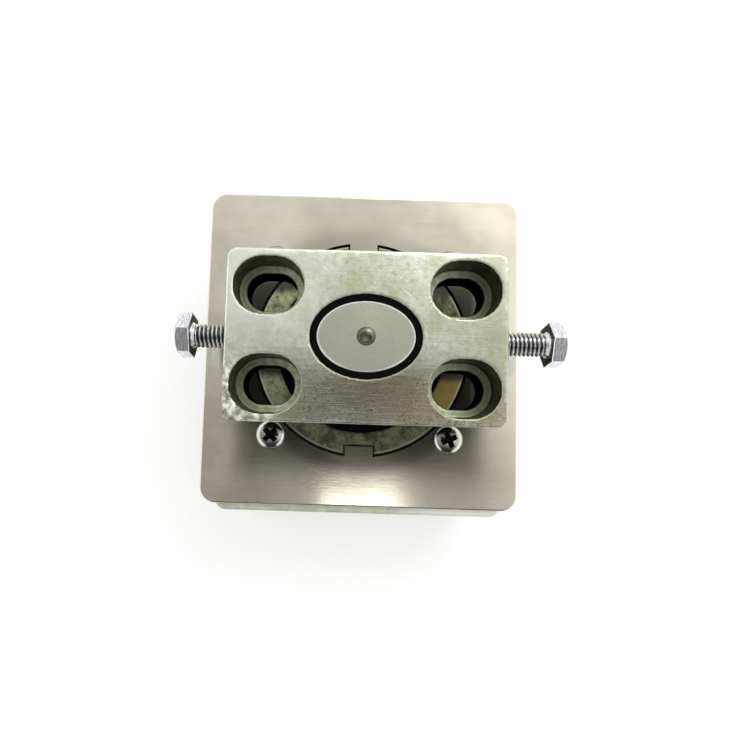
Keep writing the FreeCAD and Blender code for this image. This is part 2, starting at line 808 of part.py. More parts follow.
def make_adjusting_bolt(name, side, out):
    """Hexagon bolt in one end of the block; its shank points at the pivot axis."""
    body = new_body(name, collar_top + size["block_thickness"] - size["bolt_drop"])
    bind(body, "Placement.Base.x", (size["block_length"] / 2 + out) * side)
    if side > 0:
        body.Placement.Rotation = FreeCAD.Rotation(FreeCAD.Vector(0, 0, 1), FULL_TURN / 2)
    corner = size["bolt_head_flats"] / 2 / as_size(math.cos(math.pi / HEXAGON_SIDES))
    start = -side * math.radians(size["bolt_head_turn"].value)
    points = []
    for index in range(HEXAGON_SIDES):
        turn = start + 2 * math.pi * index / HEXAGON_SIDES
        points.append((corner * math.cos(turn), corner * math.sin(turn)))
    hexagon = new_sketch(body, name + "_hexagon", "YZ_Plane")
    draw_polygon(hexagon, points)
    extrude(body, "Pad", name + "_head", hexagon, size["bolt_head_height"], True)
    flat = size["bolt_head_flats"] / 2
    fall = (corner - flat) * tangent(size["bolt_head_chamfer"])
    cutter = new_sketch(body, name + "_chamfer", "XY_Plane")
    draw_polygon(cutter, [
        (-size["bolt_head_height"], flat),
        (fall - size["bolt_head_height"], corner),
        (fall - size["bolt_head_height"], corner * 2),
        (-size["bolt_head_height"] * 2, corner * 2),
        (-size["bolt_head_height"] * 2, flat),
    ])
    groove = body.newObject("PartDesign::Groove", name + "_head_chamfer")
    groove.Profile = cutter
    groove.ReferenceAxis = (cutter, ["H_Axis"])
    groove.Angle = FULL_TURN
    circle = new_sketch(body, name + "_circle", "YZ_Plane")
    draw_circle(circle, ZERO, ZERO, size["bolt_radius"])
    shank = extrude(body, "Pad", name + "_shank", circle, size["bolt_length"])
    at_tip = lambda edge: abs(edge.BoundBox.XMin - size["bolt_length"].value) < 1e-6
    dress(body, "Chamfer", name + "_tip", shank, at_tip, size["bolt_tip_break"])
    return body


sub_parts = [
    make_base_casting(),
    make_cover_plate(),
    make_cover_screws(),
    make_gland_ring(),
    make_bearing_cup(),
    make_bearing_cone(),
    roller_ring("bearing_rollers", -size["roller_clearance"]),
    make_bearing_cage(),
    make_lower_bush(),
    make_seal_case(),
    make_seal_lip(),
    make_garter_spring(),
    make_spindle(),
    make_cone_circlip(),
    make_door_block(),
    make_spindle_liner(),
    make_adjusting_bolt("left_adjusting_bolt", -1, size["left_bolt_out"]),
    make_adjusting_bolt("right_adjusting_bolt", 1, size["right_bolt_out"]),
]
doc.recompute()

for item in doc.Objects:
    if "Invalid" in item.State or "Error" in item.State:
        raise RuntimeError("%s failed: %s" % (item.Name, item.State))
for item in sub_parts:
    if item.Shape.isNull() or not item.Shape.isValid():
        raise RuntimeError("%s has no valid shape" % item.Label)

os.makedirs("parts", exist_ok=True)
for item in sub_parts:
    item.Shape.exportStep("parts/%s.step" % item.Label)
    solids = len(item.Shape.Solids)
    print("%s: %d solids, %.1f mm3" % (item.Label, solids, item.Shape.Volume))
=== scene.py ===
# %% [markdown]
# A floor pivot hinge: a casting is let into the floor, and a slotted block under the door drops
# over its oval spindle. The sizes come from the imported model, and this lesson adds the looks:
# the finishes, the screw recesses, the threads and the worn skin of the castings.
# The imported pieces are loaded first, and their boxes give the sizes for the dressed model.

# %% Load the imported pieces
import math

import bmesh
import bpy
import numpy as np
from mathutils import Euler, Matrix, Vector, noise


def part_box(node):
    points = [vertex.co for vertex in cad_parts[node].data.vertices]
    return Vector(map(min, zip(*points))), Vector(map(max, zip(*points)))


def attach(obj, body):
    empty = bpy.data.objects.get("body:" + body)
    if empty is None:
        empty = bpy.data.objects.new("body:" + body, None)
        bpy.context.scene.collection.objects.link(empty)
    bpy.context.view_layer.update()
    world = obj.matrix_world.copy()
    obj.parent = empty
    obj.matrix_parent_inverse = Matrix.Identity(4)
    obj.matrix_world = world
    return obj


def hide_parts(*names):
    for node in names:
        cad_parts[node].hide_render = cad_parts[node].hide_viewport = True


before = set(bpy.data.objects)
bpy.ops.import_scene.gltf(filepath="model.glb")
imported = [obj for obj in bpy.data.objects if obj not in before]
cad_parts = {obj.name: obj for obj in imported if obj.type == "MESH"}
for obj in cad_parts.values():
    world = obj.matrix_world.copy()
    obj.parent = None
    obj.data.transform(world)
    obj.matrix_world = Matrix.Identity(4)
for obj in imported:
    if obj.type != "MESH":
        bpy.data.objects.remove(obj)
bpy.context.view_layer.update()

MM = 0.001
print("packed pieces:", len(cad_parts))

# %% [markdown]
# The photograph looks almost straight down on the hinge, from a hand's width above the block.
# The lens could be guessed by eye, but then the block and the plate never line up together.
# Here the place, the turn and the focal length were solved from the corners of the plate, the
# block and the screws, so they are written as measured values. The picture's centre lies a
# little beside the lens axis, which is a small sideways shift of the camera.

# %% Camera at the angle of the photograph
PICTURE_SIDE = 750
FOCAL_LENGTH = 548.05
LENS_CENTRE = (332.94, 373.68)
CAMERA_PLACE = Vector((-6.27, -17.71, 181.07)) * MM
CAMERA_TURN = (-4.142, -0.486, -1.626)
SENSOR_WIDTH = 36.0

view = bpy.data.cameras.new("view")
view.sensor_width = SENSOR_WIDTH
view.lens = FOCAL_LENGTH / PICTURE_SIDE * SENSOR_WIDTH
view.shift_x = 0.5 - LENS_CENTRE[0] / PICTURE_SIDE
view.shift_y = LENS_CENTRE[1] / PICTURE_SIDE - 0.5
view.clip_start = 0.005
camera = bpy.data.objects.new("view", view)
bpy.context.scene.collection.objects.link(camera)
world_to_view = Euler([math.radians(angle) for angle in CAMERA_TURN], "XYZ").to_matrix()
camera.matrix_world = Matrix.Translation(CAMERA_PLACE) @ world_to_view.transposed().to_4x4()
bpy.context.scene.camera = camera
bpy.context.scene.view_settings.view_transform = "Standard"
print("lens %.2f mm, shift %.3f %.3f" % (view.lens, view.shift_x, view.shift_y))

# %% [markdown]
# Every finish below is a small tree of shader nodes. Writing each node out by hand would bury
# the finish in plumbing, so a few helpers name what a finisher would ask for. The first ones
# start a finish, give a place on the piece in millimetres, and make a blotchy pattern.
# Patterns follow the piece's own coordinates, so they stay on it when it moves.

# %% Helpers that build finishes
def new_finish(name, metallic, roughness):
    finish = bpy.data.materials.new(name + "_look")
    finish.use_nodes = True
    shader = finish.node_tree.nodes["Principled BSDF"]
    shader.inputs["Metallic"].default_value = metallic
    shader.inputs["Roughness"].default_value = roughness
    return finish, shader


def add_node(finish, kind, **settings):
    node = finish.node_tree.nodes.new(kind)
    for name, value in settings.items():
        setattr(node, name, value)
    return node


def feed(finish, socket, value):
    """A socket takes either another node's output or a plain value."""
    if isinstance(value, bpy.types.NodeSocket):
        finish.node_tree.links.new(value, socket)
    else:
        socket.default_value = value


def place_in_mm(finish, stretch=(1, 1, 1), middle=(0, 0, 0), turn=0.0):
    """Coordinates of the piece in millimetres, turned about Z and then scaled on each axis."""
    coordinates = add_node(finish, "ShaderNodeTexCoord")
    turned = add_node(finish, "ShaderNodeVectorRotate", rotation_type="Z_AXIS")
    turned.inputs["Angle"].default_value = math.radians(turn)
    mapping = add_node(finish, "ShaderNodeMapping")
    mapping.inputs["Scale"].default_value = [factor / MM for factor in stretch]
    mapping.inputs["Location"].default_value = [-m * s for m, s in zip(middle, stretch)]
    feed(finish, turned.inputs["Vector"], coordinates.outputs["Object"])
    feed(finish, mapping.inputs["Vector"], turned.outputs["Vector"])
    return mapping.outputs["Vector"]


def axes_in_mm(finish):
    """The X, Y and Z of a point of the piece in millimetres, each on its own."""
    parts = add_node(finish, "ShaderNodeSeparateXYZ")
    feed(finish, parts.inputs[0], place_in_mm(finish))
    return parts.outputs


def blotches(finish, grain, detail=4.0, stretch=(1, 1, 1), turn=0.0):
    """Soft noise whose blotches are about one grain of millimetres wide."""
    pattern = add_node(finish, "ShaderNodeTexNoise")
    pattern.inputs["Scale"].default_value = 1.0 / grain
    pattern.inputs["Detail"].default_value = detail
    feed(finish, pattern.inputs["Vector"], place_in_mm(finish, stretch, turn=turn))
    return pattern.outputs["Fac"]


print("helpers for places and patterns ready")

# %% [markdown]
# A pattern becomes a finish once it is limited, blended and multiplied with others. Colour ramps
# could do it, but each would need its own list of stops. A smooth step between two limits is
# easier to read, and one step can drive a colour, the gloss and the relief alike.

# %% Helpers that blend patterns
def limits(finish, source, low, high):
    """Spreads the part of a pattern between low and high over the range from 0 to 1."""
    spread = add_node(finish, "ShaderNodeMapRange", interpolation_type="SMOOTHSTEP")
    spread.inputs["From Min"].default_value = low
    spread.inputs["From Max"].default_value = high
    feed(finish, spread.inputs["Value"], source)
    return spread.outputs["Result"]


def ranged(finish, pattern, low, high):
    """Turns a pattern from 0 to 1 into a plain value from low to high."""
    spread = add_node(finish, "ShaderNodeMapRange")
    feed(finish, spread.inputs["To Min"], low)
    feed(finish, spread.inputs["To Max"], high)
    feed(finish, spread.inputs["Value"], pattern)
    return spread.outputs["Result"]


def between(finish, factor, first, second):
    """Colour that goes from first to second as the factor goes from 0 to 1."""
    blend = add_node(finish, "ShaderNodeMix", data_type="RGBA")
    feed(finish, blend.inputs[0], factor)
    for socket, value in ((blend.inputs[6], first), (blend.inputs[7], second)):
        feed(finish, socket, value if isinstance(value, bpy.types.NodeSocket) else (*value, 1.0))
    return blend.outputs[2]


def reckon(finish, operation, first, second=0.0):
    """One sum of two numbers."""
    sum_node = add_node(finish, "ShaderNodeMath", operation=operation)
    feed(finish, sum_node.inputs[0], first)
    feed(finish, sum_node.inputs[1], second)
    return sum_node.outputs[0]


def times(finish, first, second):
    """Product of two patterns, or of a pattern and a strength."""
    return reckon(finish, "MULTIPLY", first, second)


print("helpers for blends ready")

# %% [markdown]
# A finish also follows the shape of its piece. Fine relief is cheaper as a bump than as geometry,
# the distance from the pivot axis tells a bore from a rim, and the slope tells a level face
# from an upright one.

# %% Helpers that follow the shape
def relief(finish, height, depth, under=None):
    """Fine relief of a surface, its depth in millimetres, laid over a coarser one if given."""
    bump = add_node(finish, "ShaderNodeBump")
    bump.inputs["Distance"].default_value = depth * MM
    feed(finish, bump.inputs["Height"], height)
    if under is not None:
        feed(finish, bump.inputs["Normal"], under)
    return bump.outputs["Normal"]


def from_axis(finish):
    """Distance from the pivot axis in millimetres."""
    distance = add_node(finish, "ShaderNodeVectorMath", operation="LENGTH")
    feed(finish, distance.inputs[0], place_in_mm(finish, (1, 1, 0)))
    return distance.outputs["Value"]


def facing_up(finish):
    """1 on level faces and 0 on upright ones."""
    parts = add_node(finish, "ShaderNodeSeparateXYZ")
    feed(finish, parts.inputs[0], add_node(finish, "ShaderNodeNewGeometry").outputs["Normal"])
    return parts.outputs["Z"]


def dress(node, finish):
    """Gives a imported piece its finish."""
    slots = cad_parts[node].data.materials
    slots.clear()
    slots.append(finish)
    print(node, "wears", finish.name)


print("pieces to dress:", len(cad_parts))

# %% [markdown]
# The hinge lies on a white sheet. A white floor could be lit until it burns out, but that would
# burn the object too, so the floor only adds a little glow of its own for the eye and for mirrors,
# and keeps its shadow.

# %% White floor
floor_mesh = bpy.data.meshes.new("floor")
FLOOR_REACH = 3.0
corners = [(-1, -1), (1, -1), (1, 1), (-1, 1)]
floor_mesh.from_pydata([(x * FLOOR_REACH, y * FLOOR_REACH, 0) for x, y in corners], [], [(0, 1, 2, 3)])
floor = bpy.data.objects.new("floor", floor_mesh)
bpy.context.scene.collection.objects.link(floor)

FLOOR_GLOW = 0.57
paper, paper_shader = new_finish("white_paper", 0.0, 0.9)
paper_shader.inputs["Specular IOR Level"].default_value = 0.0
paper_grain = blotches(paper, 0.8)
paper_tone = between(paper, paper_grain, (0.48, 0.48, 0.48), (0.52, 0.52, 0.52))
feed(paper, paper_shader.inputs["Base Color"], paper_tone)
ray = add_node(paper, "ShaderNodeLightPath")
seen = reckon(paper, "MAXIMUM", ray.outputs["Is Camera Ray"], ray.outputs["Is Glossy Ray"])
paper_shader.inputs["Emission Color"].default_value = (1, 1, 1, 1)
feed(paper, paper_shader.inputs["Emission Strength"], times(paper, seen, FLOOR_GLOW))
floor_mesh.materials.append(paper)
print("floor side in m:", 2 * FLOOR_REACH)

# %% [markdown]
# A large soft lamp hangs behind the hinge and a small window of light in front. Metal shows what is
# above it, so the lamps are panels with a size that the plate can mirror, where a point lamp
# would leave one hard spark. A black card above the lens gives the flat metal its dark middle, as
# the camera's own body does in a close picture. The card shows in mirrors only.

# %% Lamps and black card
def hang_lamp(name, place, aim, width, length, power, colour):
    """A rectangular lamp at a place in millimetres that faces the point it is aimed at."""
    panel = bpy.data.lights.new(name, "AREA")
    panel.shape = "RECTANGLE"
    panel.size = width * MM
    panel.size_y = length * MM
    panel.energy = power
    panel.color = colour
    lamp = bpy.data.objects.new(name, panel)
    bpy.context.scene.collection.objects.link(lamp)
    lamp.location = Vector(place) * MM
    lamp.rotation_euler = (Vector(place) - Vector(aim)).to_track_quat("Z", "Y").to_euler()
    print(name, "gives", power, "W")


LAMP_TINT = (1.0, 0.985, 0.96)
hang_lamp("soft_box", (350, 650, 700), (0, 0, 30), 700, 500, 4.6, LAMP_TINT)
hang_lamp("front_window", (20, -131, 435), (20, -131, 0), 78, 60, 0.056, LAMP_TINT)

card_mesh = bpy.data.meshes.new("black_card")
CARD_PLACE = Vector((6, -21, 190)) * MM
CARD_REACH = Vector((68, 29)) * MM
card_corners = [(x * CARD_REACH.x, y * CARD_REACH.y, 0) for x, y in corners]
card_mesh.from_pydata(card_corners, [], [(0, 1, 2, 3)])
card = bpy.data.objects.new("black_card", card_mesh)
bpy.context.scene.collection.objects.link(card)
card.location = CARD_PLACE
card.visible_camera = False
card.visible_diffuse = False
card.visible_shadow = False
felt, felt_shader = new_finish("black_felt", 0.0, 0.9)
feed(felt, felt_shader.inputs["Base Color"], ranged(felt, blotches(felt, 2.0), 0.02, 0.05))
card_mesh.materials.append(felt)

# %% [markdown]
# The rest of the room is a gradient: bright at the back right, brighter still low on both sides, and
# dark low in front, on the camera's side. A picture of a studio could light the metal too, but a
# gradient has no edges that show as odd shapes in it. Seen straight, the sky is white.

# %% Sky round the studio
sky = bpy.data.worlds.new("studio")
bpy.context.scene.world = sky
sky.use_nodes = True
glow = sky.node_tree.nodes["Background"]
direction = add_node(sky, "ShaderNodeTexCoord")
axes = add_node(sky, "ShaderNodeSeparateXYZ")
feed(sky, axes.inputs[0], direction.outputs["Generated"])
aside = reckon(sky, "ABSOLUTE", axes.outputs["X"])
slope = add_node(sky, "ShaderNodeVectorMath", operation="DOT_PRODUCT")
feed(sky, slope.inputs[0], direction.outputs["Generated"])
slope.inputs[1].default_value = (0.55, 0.9, 0.0)
slope = reckon(sky, "ADD", slope.outputs["Value"], times(sky, aside, 0.5))
tone = between(sky, limits(sky, slope, -0.25, 0.55), (0.43, 0.42, 0.41), (1.00, 0.99, 0.98))
tone = between(sky, limits(sky, axes.outputs["Y"], -0.3, -0.75), tone, (0.06, 0.06, 0.06))
low_down = limits(sky, axes.outputs["Z"], 0.6, 0.35)
low_aside = times(sky, limits(sky, aside, 0.3, 0.6), low_down)
tone = between(sky, low_aside, tone, (1.7, 1.7, 1.7))
straight = add_node(sky, "ShaderNodeLightPath").outputs["Is Camera Ray"]
feed(sky, glow.inputs["Color"], between(sky, straight, tone, (1.0, 1.0, 1.0)))
print("sky nodes:", len(sky.node_tree.nodes))

# %% [markdown]
# The cover plate is stainless sheet, brushed from left to right with an abrasive belt. A belt
# leaves thousands of fine parallel grooves, which smear a highlight across them. An image could
# show such lines, but noise that is stretched along the belt gives endless ones, and an
# anisotropic shader smears the reflection as the grooves do. Broad clouds and shallow dents keep
# the sheet from looking like new.

# %% Brushed stainless of the cover plate
steel, shader = new_finish("brushed_stainless", 1.0, 0.3)
grooves = blotches(steel, 0.16, 3.0, (0.012, 1.0, 1.0))
bands = blotches(steel, 2.6, 3.0, (0.05, 1.0, 1.0))
clouds = blotches(steel, 16.0, 5.0)
tone = between(steel, limits(steel, grooves, 0.3, 0.7), (0.635, 0.605, 0.50), (0.69, 0.66, 0.55))
tone = between(steel, limits(steel, bands, 0.5, 0.9), tone, (0.62, 0.585, 0.48))
light_clouds = times(steel, limits(steel, clouds, 0.45, 0.65), 0.5)
tone = between(steel, light_clouds, tone, (0.80, 0.77, 0.64))
dark_clouds = times(steel, limits(steel, clouds, 0.5, 0.36), 0.5)
tone = between(steel, dark_clouds, tone, (0.52, 0.495, 0.40))
feed(steel, shader.inputs["Roughness"], ranged(steel, clouds, 0.12, 0.2))
shader.inputs["Anisotropic"].default_value = 0.6
across_belt = add_node(steel, "ShaderNodeCombineXYZ")
across_belt.inputs["Y"].default_value = 1.0
feed(steel, shader.inputs["Tangent"], across_belt.outputs[0])
dents_and_glints = relief(steel, blotches(steel, 0.9, 5.0, (0.3, 1.0, 1.0)), 0.006)
feed(steel, shader.inputs["Normal"], relief(steel, grooves, 0.003, dents_and_glints))
print("brushed stainless nodes:", len(steel.node_tree.nodes))

# %% [markdown]
# Grease creeps out of the gland and darkens the plate round the opening, and painted shade is laid
# into the same halo, weaker at the back. Under the block the painted shade reaches further out and
# grows darker towards the right, and where the plate shows through the slots it is a matt, nearly
# black painted shade, a little lighter behind the axis. The upright wall of the opening is painted
# black as shade in the gap. Painting it by hand would need an image, so its tone follows the distance
# from the pivot axis. A few soft spots paint a darker reflection at the back, a smudge with a darker
# reflection in front at the right, and a lighter reflection along the right side.

# %% Grease, wear and painted shade on the cover plate
def spot(finish, middle, reach):
    """1 at a middle point, fading to 0 at the reach on each axis, all in millimetres."""
    ball = add_node(finish, "ShaderNodeTexGradient", gradient_type="SPHERICAL")
    feed(finish, ball.inputs["Vector"], place_in_mm(finish, [1.0 / r for r in reach], middle))
    return ball.outputs["Fac"]


def patch(finish, middle, reach, strength):
    """A soft spot of the given strength."""
    return times(finish, spot(finish, middle, reach), strength)


GAP_SHADE = (0.012, 0.011, 0.008)
COVER_EDGE = 24.0
COVER_FULL = 17.0
reach = from_axis(steel)
plan = axes_in_mm(steel)
# Painted shade round the opening, partly grease: weaker at the back
halo_strength = ranged(steel, limits(steel, plan["Y"], COVER_EDGE, COVER_FULL), 0.24, 0.62)
grease_and_shade_halo = times(steel, limits(steel, reach, 41.0, 29.0), halo_strength)
tone = between(steel, grease_and_shade_halo, tone, (0.34, 0.315, 0.25))
covered = limits(steel, reckon(steel, "ABSOLUTE", plan["Y"]), COVER_EDGE, COVER_FULL)
# Under the block the painted shade reaches further out and grows darker towards the right
spread = reckon(steel, "SUBTRACT", reach, times(steel, covered, 4.0))
block_shade_strength = ranged(steel, limits(steel, plan["X"], -20.0, 20.0), 0.12, 0.6)
grease_and_block_shade = times(steel, limits(steel, spread, 35.5, 31.0), ranged(steel, covered, halo_strength, block_shade_strength))
tone = between(steel, grease_and_block_shade, tone, (0.12, 0.112, 0.088))
# Painted dark reflection at the back
painted_dark_reflection = patch(steel, (4, 37, 32), (24, 12, 12), 0.6)
tone = between(steel, painted_dark_reflection, tone, (0.50, 0.475, 0.39))
# A smudge with a painted dark reflection in front at the right
smudge_and_dark_reflection = patch(steel, (28, -31, 32), (20, 18, 12), 0.75)
tone = between(steel, smudge_and_dark_reflection, tone, (0.46, 0.41, 0.33))
# Painted lighter reflection along the right side
painted_light_patch = patch(steel, (43, 6, 32), (12, 42, 12), 1.2)
tone = between(steel, painted_light_patch, tone, (0.84, 0.80, 0.68))
# Painted shade where the plate shows through the slots: nearly black and matt, a little lighter behind
# the axis
shade_in_slots = times(steel, covered, limits(steel, spread, 31.5, 29.0))
behind = limits(steel, plan["Y"], -8.0, 8.0)
slot_shade_tone = between(steel, behind, (0.026, 0.027, 0.016), (0.062, 0.063, 0.047))
tone = between(steel, shade_in_slots, tone, slot_shade_tone)
feed(steel, shader.inputs["Metallic"], ranged(steel, shade_in_slots, 1.0, 0.2))
# Painted shade: the upright wall of the opening is black, as the gap round the gland ring
wall = times(steel, limits(steel, facing_up(steel), 0.7, 0.3), limits(steel, reach, 33.0, 32.0))
feed(steel, shader.inputs["Base Color"], between(steel, wall, tone, GAP_SHADE))
dress("cover_plate", steel)

# %% [markdown]
# The casting in the floor is zinc with a pale greenish skin. Its skin is grainy from the die and
# darkened in small pits. Pits could be modelled one by one, but they are finer than a grain of
# sand, so they are a speckle in the colour and a shallow relief. The upright sides are painted darker
# and greyer as shade, the top of a strip at the right front is painted pale as light, and the groove
# round the gland ring is painted black as shade, which shows as a dark line round the ring.

# %% Cast zinc of the base
def speckle(finish, grain, amount):
    """Small separate spots; a smaller amount gives fewer of them."""
    return limits(finish, blotches(finish, grain, 2.0), 0.62 - amount, 0.74 - amount)


zinc, shader = new_finish("cast_zinc", 0.55, 0.5)
skin = blotches(zinc, 3.0, 8.0)
tone = between(zinc, limits(zinc, skin, 0.3, 0.7), (0.59, 0.64, 0.50), (0.75, 0.80, 0.66))
tone = between(zinc, speckle(zinc, 0.55, 0.0), tone, (0.42, 0.43, 0.34))
# Painted shade: the upright sides are darker and greyer
upright = limits(zinc, facing_up(zinc), 0.5, 0.2)
upright_shade_tone = between(zinc, limits(zinc, skin, 0.25, 0.75), (0.37, 0.39, 0.325), (0.50, 0.52, 0.45))
tone = between(zinc, times(zinc, upright, 0.75), tone, upright_shade_tone)
# Painted light on the top of a strip at the right front
painted_light_spot = patch(zinc, (42, -44, 29), (36, 9, 9), 2.8)
painted_light_spot = times(zinc, painted_light_spot, limits(zinc, facing_up(zinc), 0.2, 0.9))
tone = between(zinc, painted_light_spot, tone, (0.95, 0.96, 0.90))
# Painted shade: the groove round the gland ring is black
tone = between(zinc, limits(zinc, from_axis(zinc), 31.5, 30.5), tone, GAP_SHADE)
feed(zinc, shader.inputs["Base Color"], tone)
feed(zinc, shader.inputs["Roughness"], ranged(zinc, skin, 0.4, 0.65))
grain = relief(zinc, blotches(zinc, 0.5), 0.05)
feed(zinc, shader.inputs["Normal"], relief(zinc, skin, 0.2, grain))
dress("base_casting", zinc)

# %% [markdown]
# The gland ring is steel with an olive chromate film, which is blotchy and lighter where it is thick.
# It is painted pale at the left as light that falls through the slots, yellowed at the right front and
# lighter along its outer edge. Painted shade keeps it dark where the block hides it and a little
# darker in front. The same film lines the slots of the block, so its colour is a helper that both
# finishes use, where a copy would drift apart.

# %% Olive chromate of the gland ring
def olive_film(finish):
    """Colour of the chromate film, from thin and dark to thick and light."""
    patches = limits(finish, blotches(finish, 2.4, 7.0), 0.36, 0.64)
    tone = between(finish, patches, (0.065, 0.067, 0.032), (0.25, 0.245, 0.13))
    tone = between(finish, speckle(finish, 0.8, 0.0), tone, (0.42, 0.43, 0.32))
    return between(finish, speckle(finish, 0.5, 0.04), tone, (0.03, 0.03, 0.02))


olive, shader = new_finish("olive_passivate", 0.3, 0.5)
# Painted light: paler at the left, where light falls on the ring through the slots
painted_light_patch = limits(olive, spot(olive, (-25, 4, 32), (17, 27, 9)), 0.0, 0.5)
painted_light_patch = times(olive, painted_light_patch, limits(olive, blotches(olive, 1.5, 9.0), 0.25, 0.6))
tone = between(olive, painted_light_patch, olive_film(olive), (0.63, 0.66, 0.39))
yellow = patch(olive, (23, -12, 32), (15, 12, 9), 1.5)
yellow = times(olive, yellow, ranged(olive, blotches(olive, 1.6), 0.3, 1.0))
tone = between(olive, yellow, tone, (0.49, 0.375, 0.095))
edge = times(olive, limits(olive, from_axis(olive), 28.0, 28.3), 0.6)
tone = between(olive, edge, tone, (0.62, 0.62, 0.47))
plan = axes_in_mm(olive)
# Painted shade where the block hides the ring at both sides, and a little in front
front_slots_end = limits(olive, plan["Y"], -9.5, -6.5)
between_slots = times(olive, front_slots_end, limits(olive, plan["Y"], 9.0, 5.0))
hidden = reckon(olive, "MAXIMUM", between_slots, limits(olive, plan["Y"], 13.5, 16.5))
aside = limits(olive, reckon(olive, "ABSOLUTE", plan["X"]), 12.0, 16.0)
painted_block_shade = times(olive, times(olive, hidden, aside), 0.95)
in_front = times(olive, limits(olive, plan["Y"], -17.0, -23.0), 0.3)
painted_block_shade = reckon(olive, "MAXIMUM", painted_block_shade, in_front)
feed(olive, shader.inputs["Base Color"], between(olive, painted_block_shade, tone, (0.03, 0.031, 0.018)))
feed(olive, shader.inputs["Normal"], relief(olive, blotches(olive, 0.7), 0.05))
dress("gland_ring", olive)

# %% [markdown]
# The spindle is machined steel. Its end face is dull and sandy from pickling, with fine dark
# specks. The slanted edge round it shines from the tool, and that highlight is painted lighter in
# the colour, near white along its top; the centre hole is painted with bright reflections and has a
# dark rim. A plain grey metal would look new, so a coarse and a fine noise dull it by patches, and the
# slope, the height and the distance from the axis pick out the edge, the hole and the turned sides.

# %% Sandy end face of the spindle
HOLE_RADIUS = 2.0
EDGE_HEIGHT = 1.0
spindle_steel, shader = new_finish("spindle_steel", 0.9, 0.45)
patches = blotches(spindle_steel, 6.0)
tone = between(spindle_steel, patches, (0.36, 0.37, 0.29), (0.49, 0.495, 0.405))
tone = between(spindle_steel, speckle(spindle_steel, 0.35, 0.0), tone, (0.26, 0.26, 0.20))
# Painted highlight: the slanted edge and the turned sides are lighter
slant = limits(spindle_steel, facing_up(spindle_steel), 0.97, 0.8)
tone = between(spindle_steel, slant, tone, (0.62, 0.62, 0.56))
reach = from_axis(spindle_steel)
# Painted bright reflections in the centre hole
hole = limits(spindle_steel, reach, HOLE_RADIUS * 2, HOLE_RADIUS * 1.5)
hole = times(spindle_steel, slant, hole)
dents_and_glints = between(spindle_steel, blotches(spindle_steel, 0.8), (0.30, 0.31, 0.22), (0.90, 0.91, 0.76))
tone = between(spindle_steel, hole, tone, dents_and_glints)
off_rim = reckon(spindle_steel, "ABSOLUTE", reckon(spindle_steel, "SUBTRACT", reach, HOLE_RADIUS))
rim = times(spindle_steel, limits(spindle_steel, off_rim, 0.3, 0.1), 0.75)
tone = between(spindle_steel, rim, tone, (0.10, 0.10, 0.07))
spindle_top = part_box("spindle")[1].z / MM
rise = axes_in_mm(spindle_steel)
# Painted highlight, near white, along the top of the slanted edge
edge = limits(spindle_steel, rise["Z"], spindle_top - EDGE_HEIGHT, spindle_top - EDGE_HEIGHT / 2)
edge = times(spindle_steel, edge, reckon(spindle_steel, "SUBTRACT", slant, hole))
feed(spindle_steel, shader.inputs["Base Color"], between(spindle_steel, edge, tone, (0.90, 0.90, 0.86)))
feed(spindle_steel, shader.inputs["Roughness"], ranged(spindle_steel, slant, 0.44, 0.28))
feed(spindle_steel, shader.inputs["Metallic"], ranged(spindle_steel, edge, 0.9, 0.35))
feed(spindle_steel, shader.inputs["Normal"], relief(spindle_steel, blotches(spindle_steel, 0.35), 0.02))
dress("spindle", spindle_steel)

# %% [markdown]
# Two black pieces keep metal from metal: the nylon liner in the oval socket and the rubber lip of
# the shaft seal. Black plastic is never quite even, so a slight change of gloss stands for the
# grease and dust on it.

# %% Black nylon and rubber
def black_finish(name, roughness, spread):
    finish, shader = new_finish(name, 0.0, roughness)
    film = blotches(finish, 2.0)
    tone = between(finish, film, (0.0015, 0.0015, 0.0015), (0.004, 0.004, 0.004))
    feed(finish, shader.inputs["Base Color"], tone)
    feed(finish, shader.inputs["Roughness"], ranged(finish, film, roughness - spread, roughness + spread))
    shader.inputs["Specular IOR Level"].default_value = 0.04
    feed(finish, shader.inputs["Normal"], relief(finish, blotches(finish, 0.3), 0.01))
    return finish


dress("spindle_liner", black_finish("black_nylon", 0.6, 0.1))
dress("seal_lip", black_finish("black_rubber", 0.65, 0.15))

# %% [markdown]
# The bearing, the lower bush, the circlip, the seal's case and its spring sit inside the casting.
# They are turned, ground or pressed metal with a film of oil, so they share one recipe, each with
# its own tint and gloss.

# %% Oiled metals inside the casting
def bright_steel(name, dark, light, roughness):
    finish, shader = new_finish(name, 1.0, roughness)
    marks = blotches(finish, 1.5, 4.0, (1.0, 1.0, 6.0))
    feed(finish, shader.inputs["Base Color"], between(finish, marks, dark, light))
    feed(finish, shader.inputs["Roughness"], ranged(finish, marks, roughness * 0.8, roughness * 1.2))
    feed(finish, shader.inputs["Normal"], relief(finish, marks, 0.004))
    return finish


bearing_steel = bright_steel("bearing_steel", (0.50, 0.50, 0.49), (0.66, 0.66, 0.65), 0.3)
cage_steel = bright_steel("cage_steel", (0.34, 0.33, 0.31), (0.47, 0.46, 0.43), 0.6)
spring_steel = bright_steel("spring_steel", (0.28, 0.28, 0.29), (0.42, 0.42, 0.43), 0.5)
for node in ("bearing_cup", "bearing_cone", "bearing_rollers"):
    dress(node, bearing_steel)
dress("bearing_cage", cage_steel)
dress("lower_bush", bright_steel("bush_bronze", (0.40, 0.26, 0.12), (0.58, 0.41, 0.21), 0.4))
dress("seal_case", cage_steel)
for node in ("cone_circlip", "garter_spring"):
    dress(node, spring_steel)

# %% [markdown]
# The block is a zinc-plated casting whose top was ground with a coarse belt. Its rim is soft, with
# lumps and chips of the casting at the front left corner. A bevel would give an even edge, so
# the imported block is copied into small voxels, which rounds every edge a little, and then noise
# pulls the skin in near the outer edges. The dark slots and the flat top stay where they were.

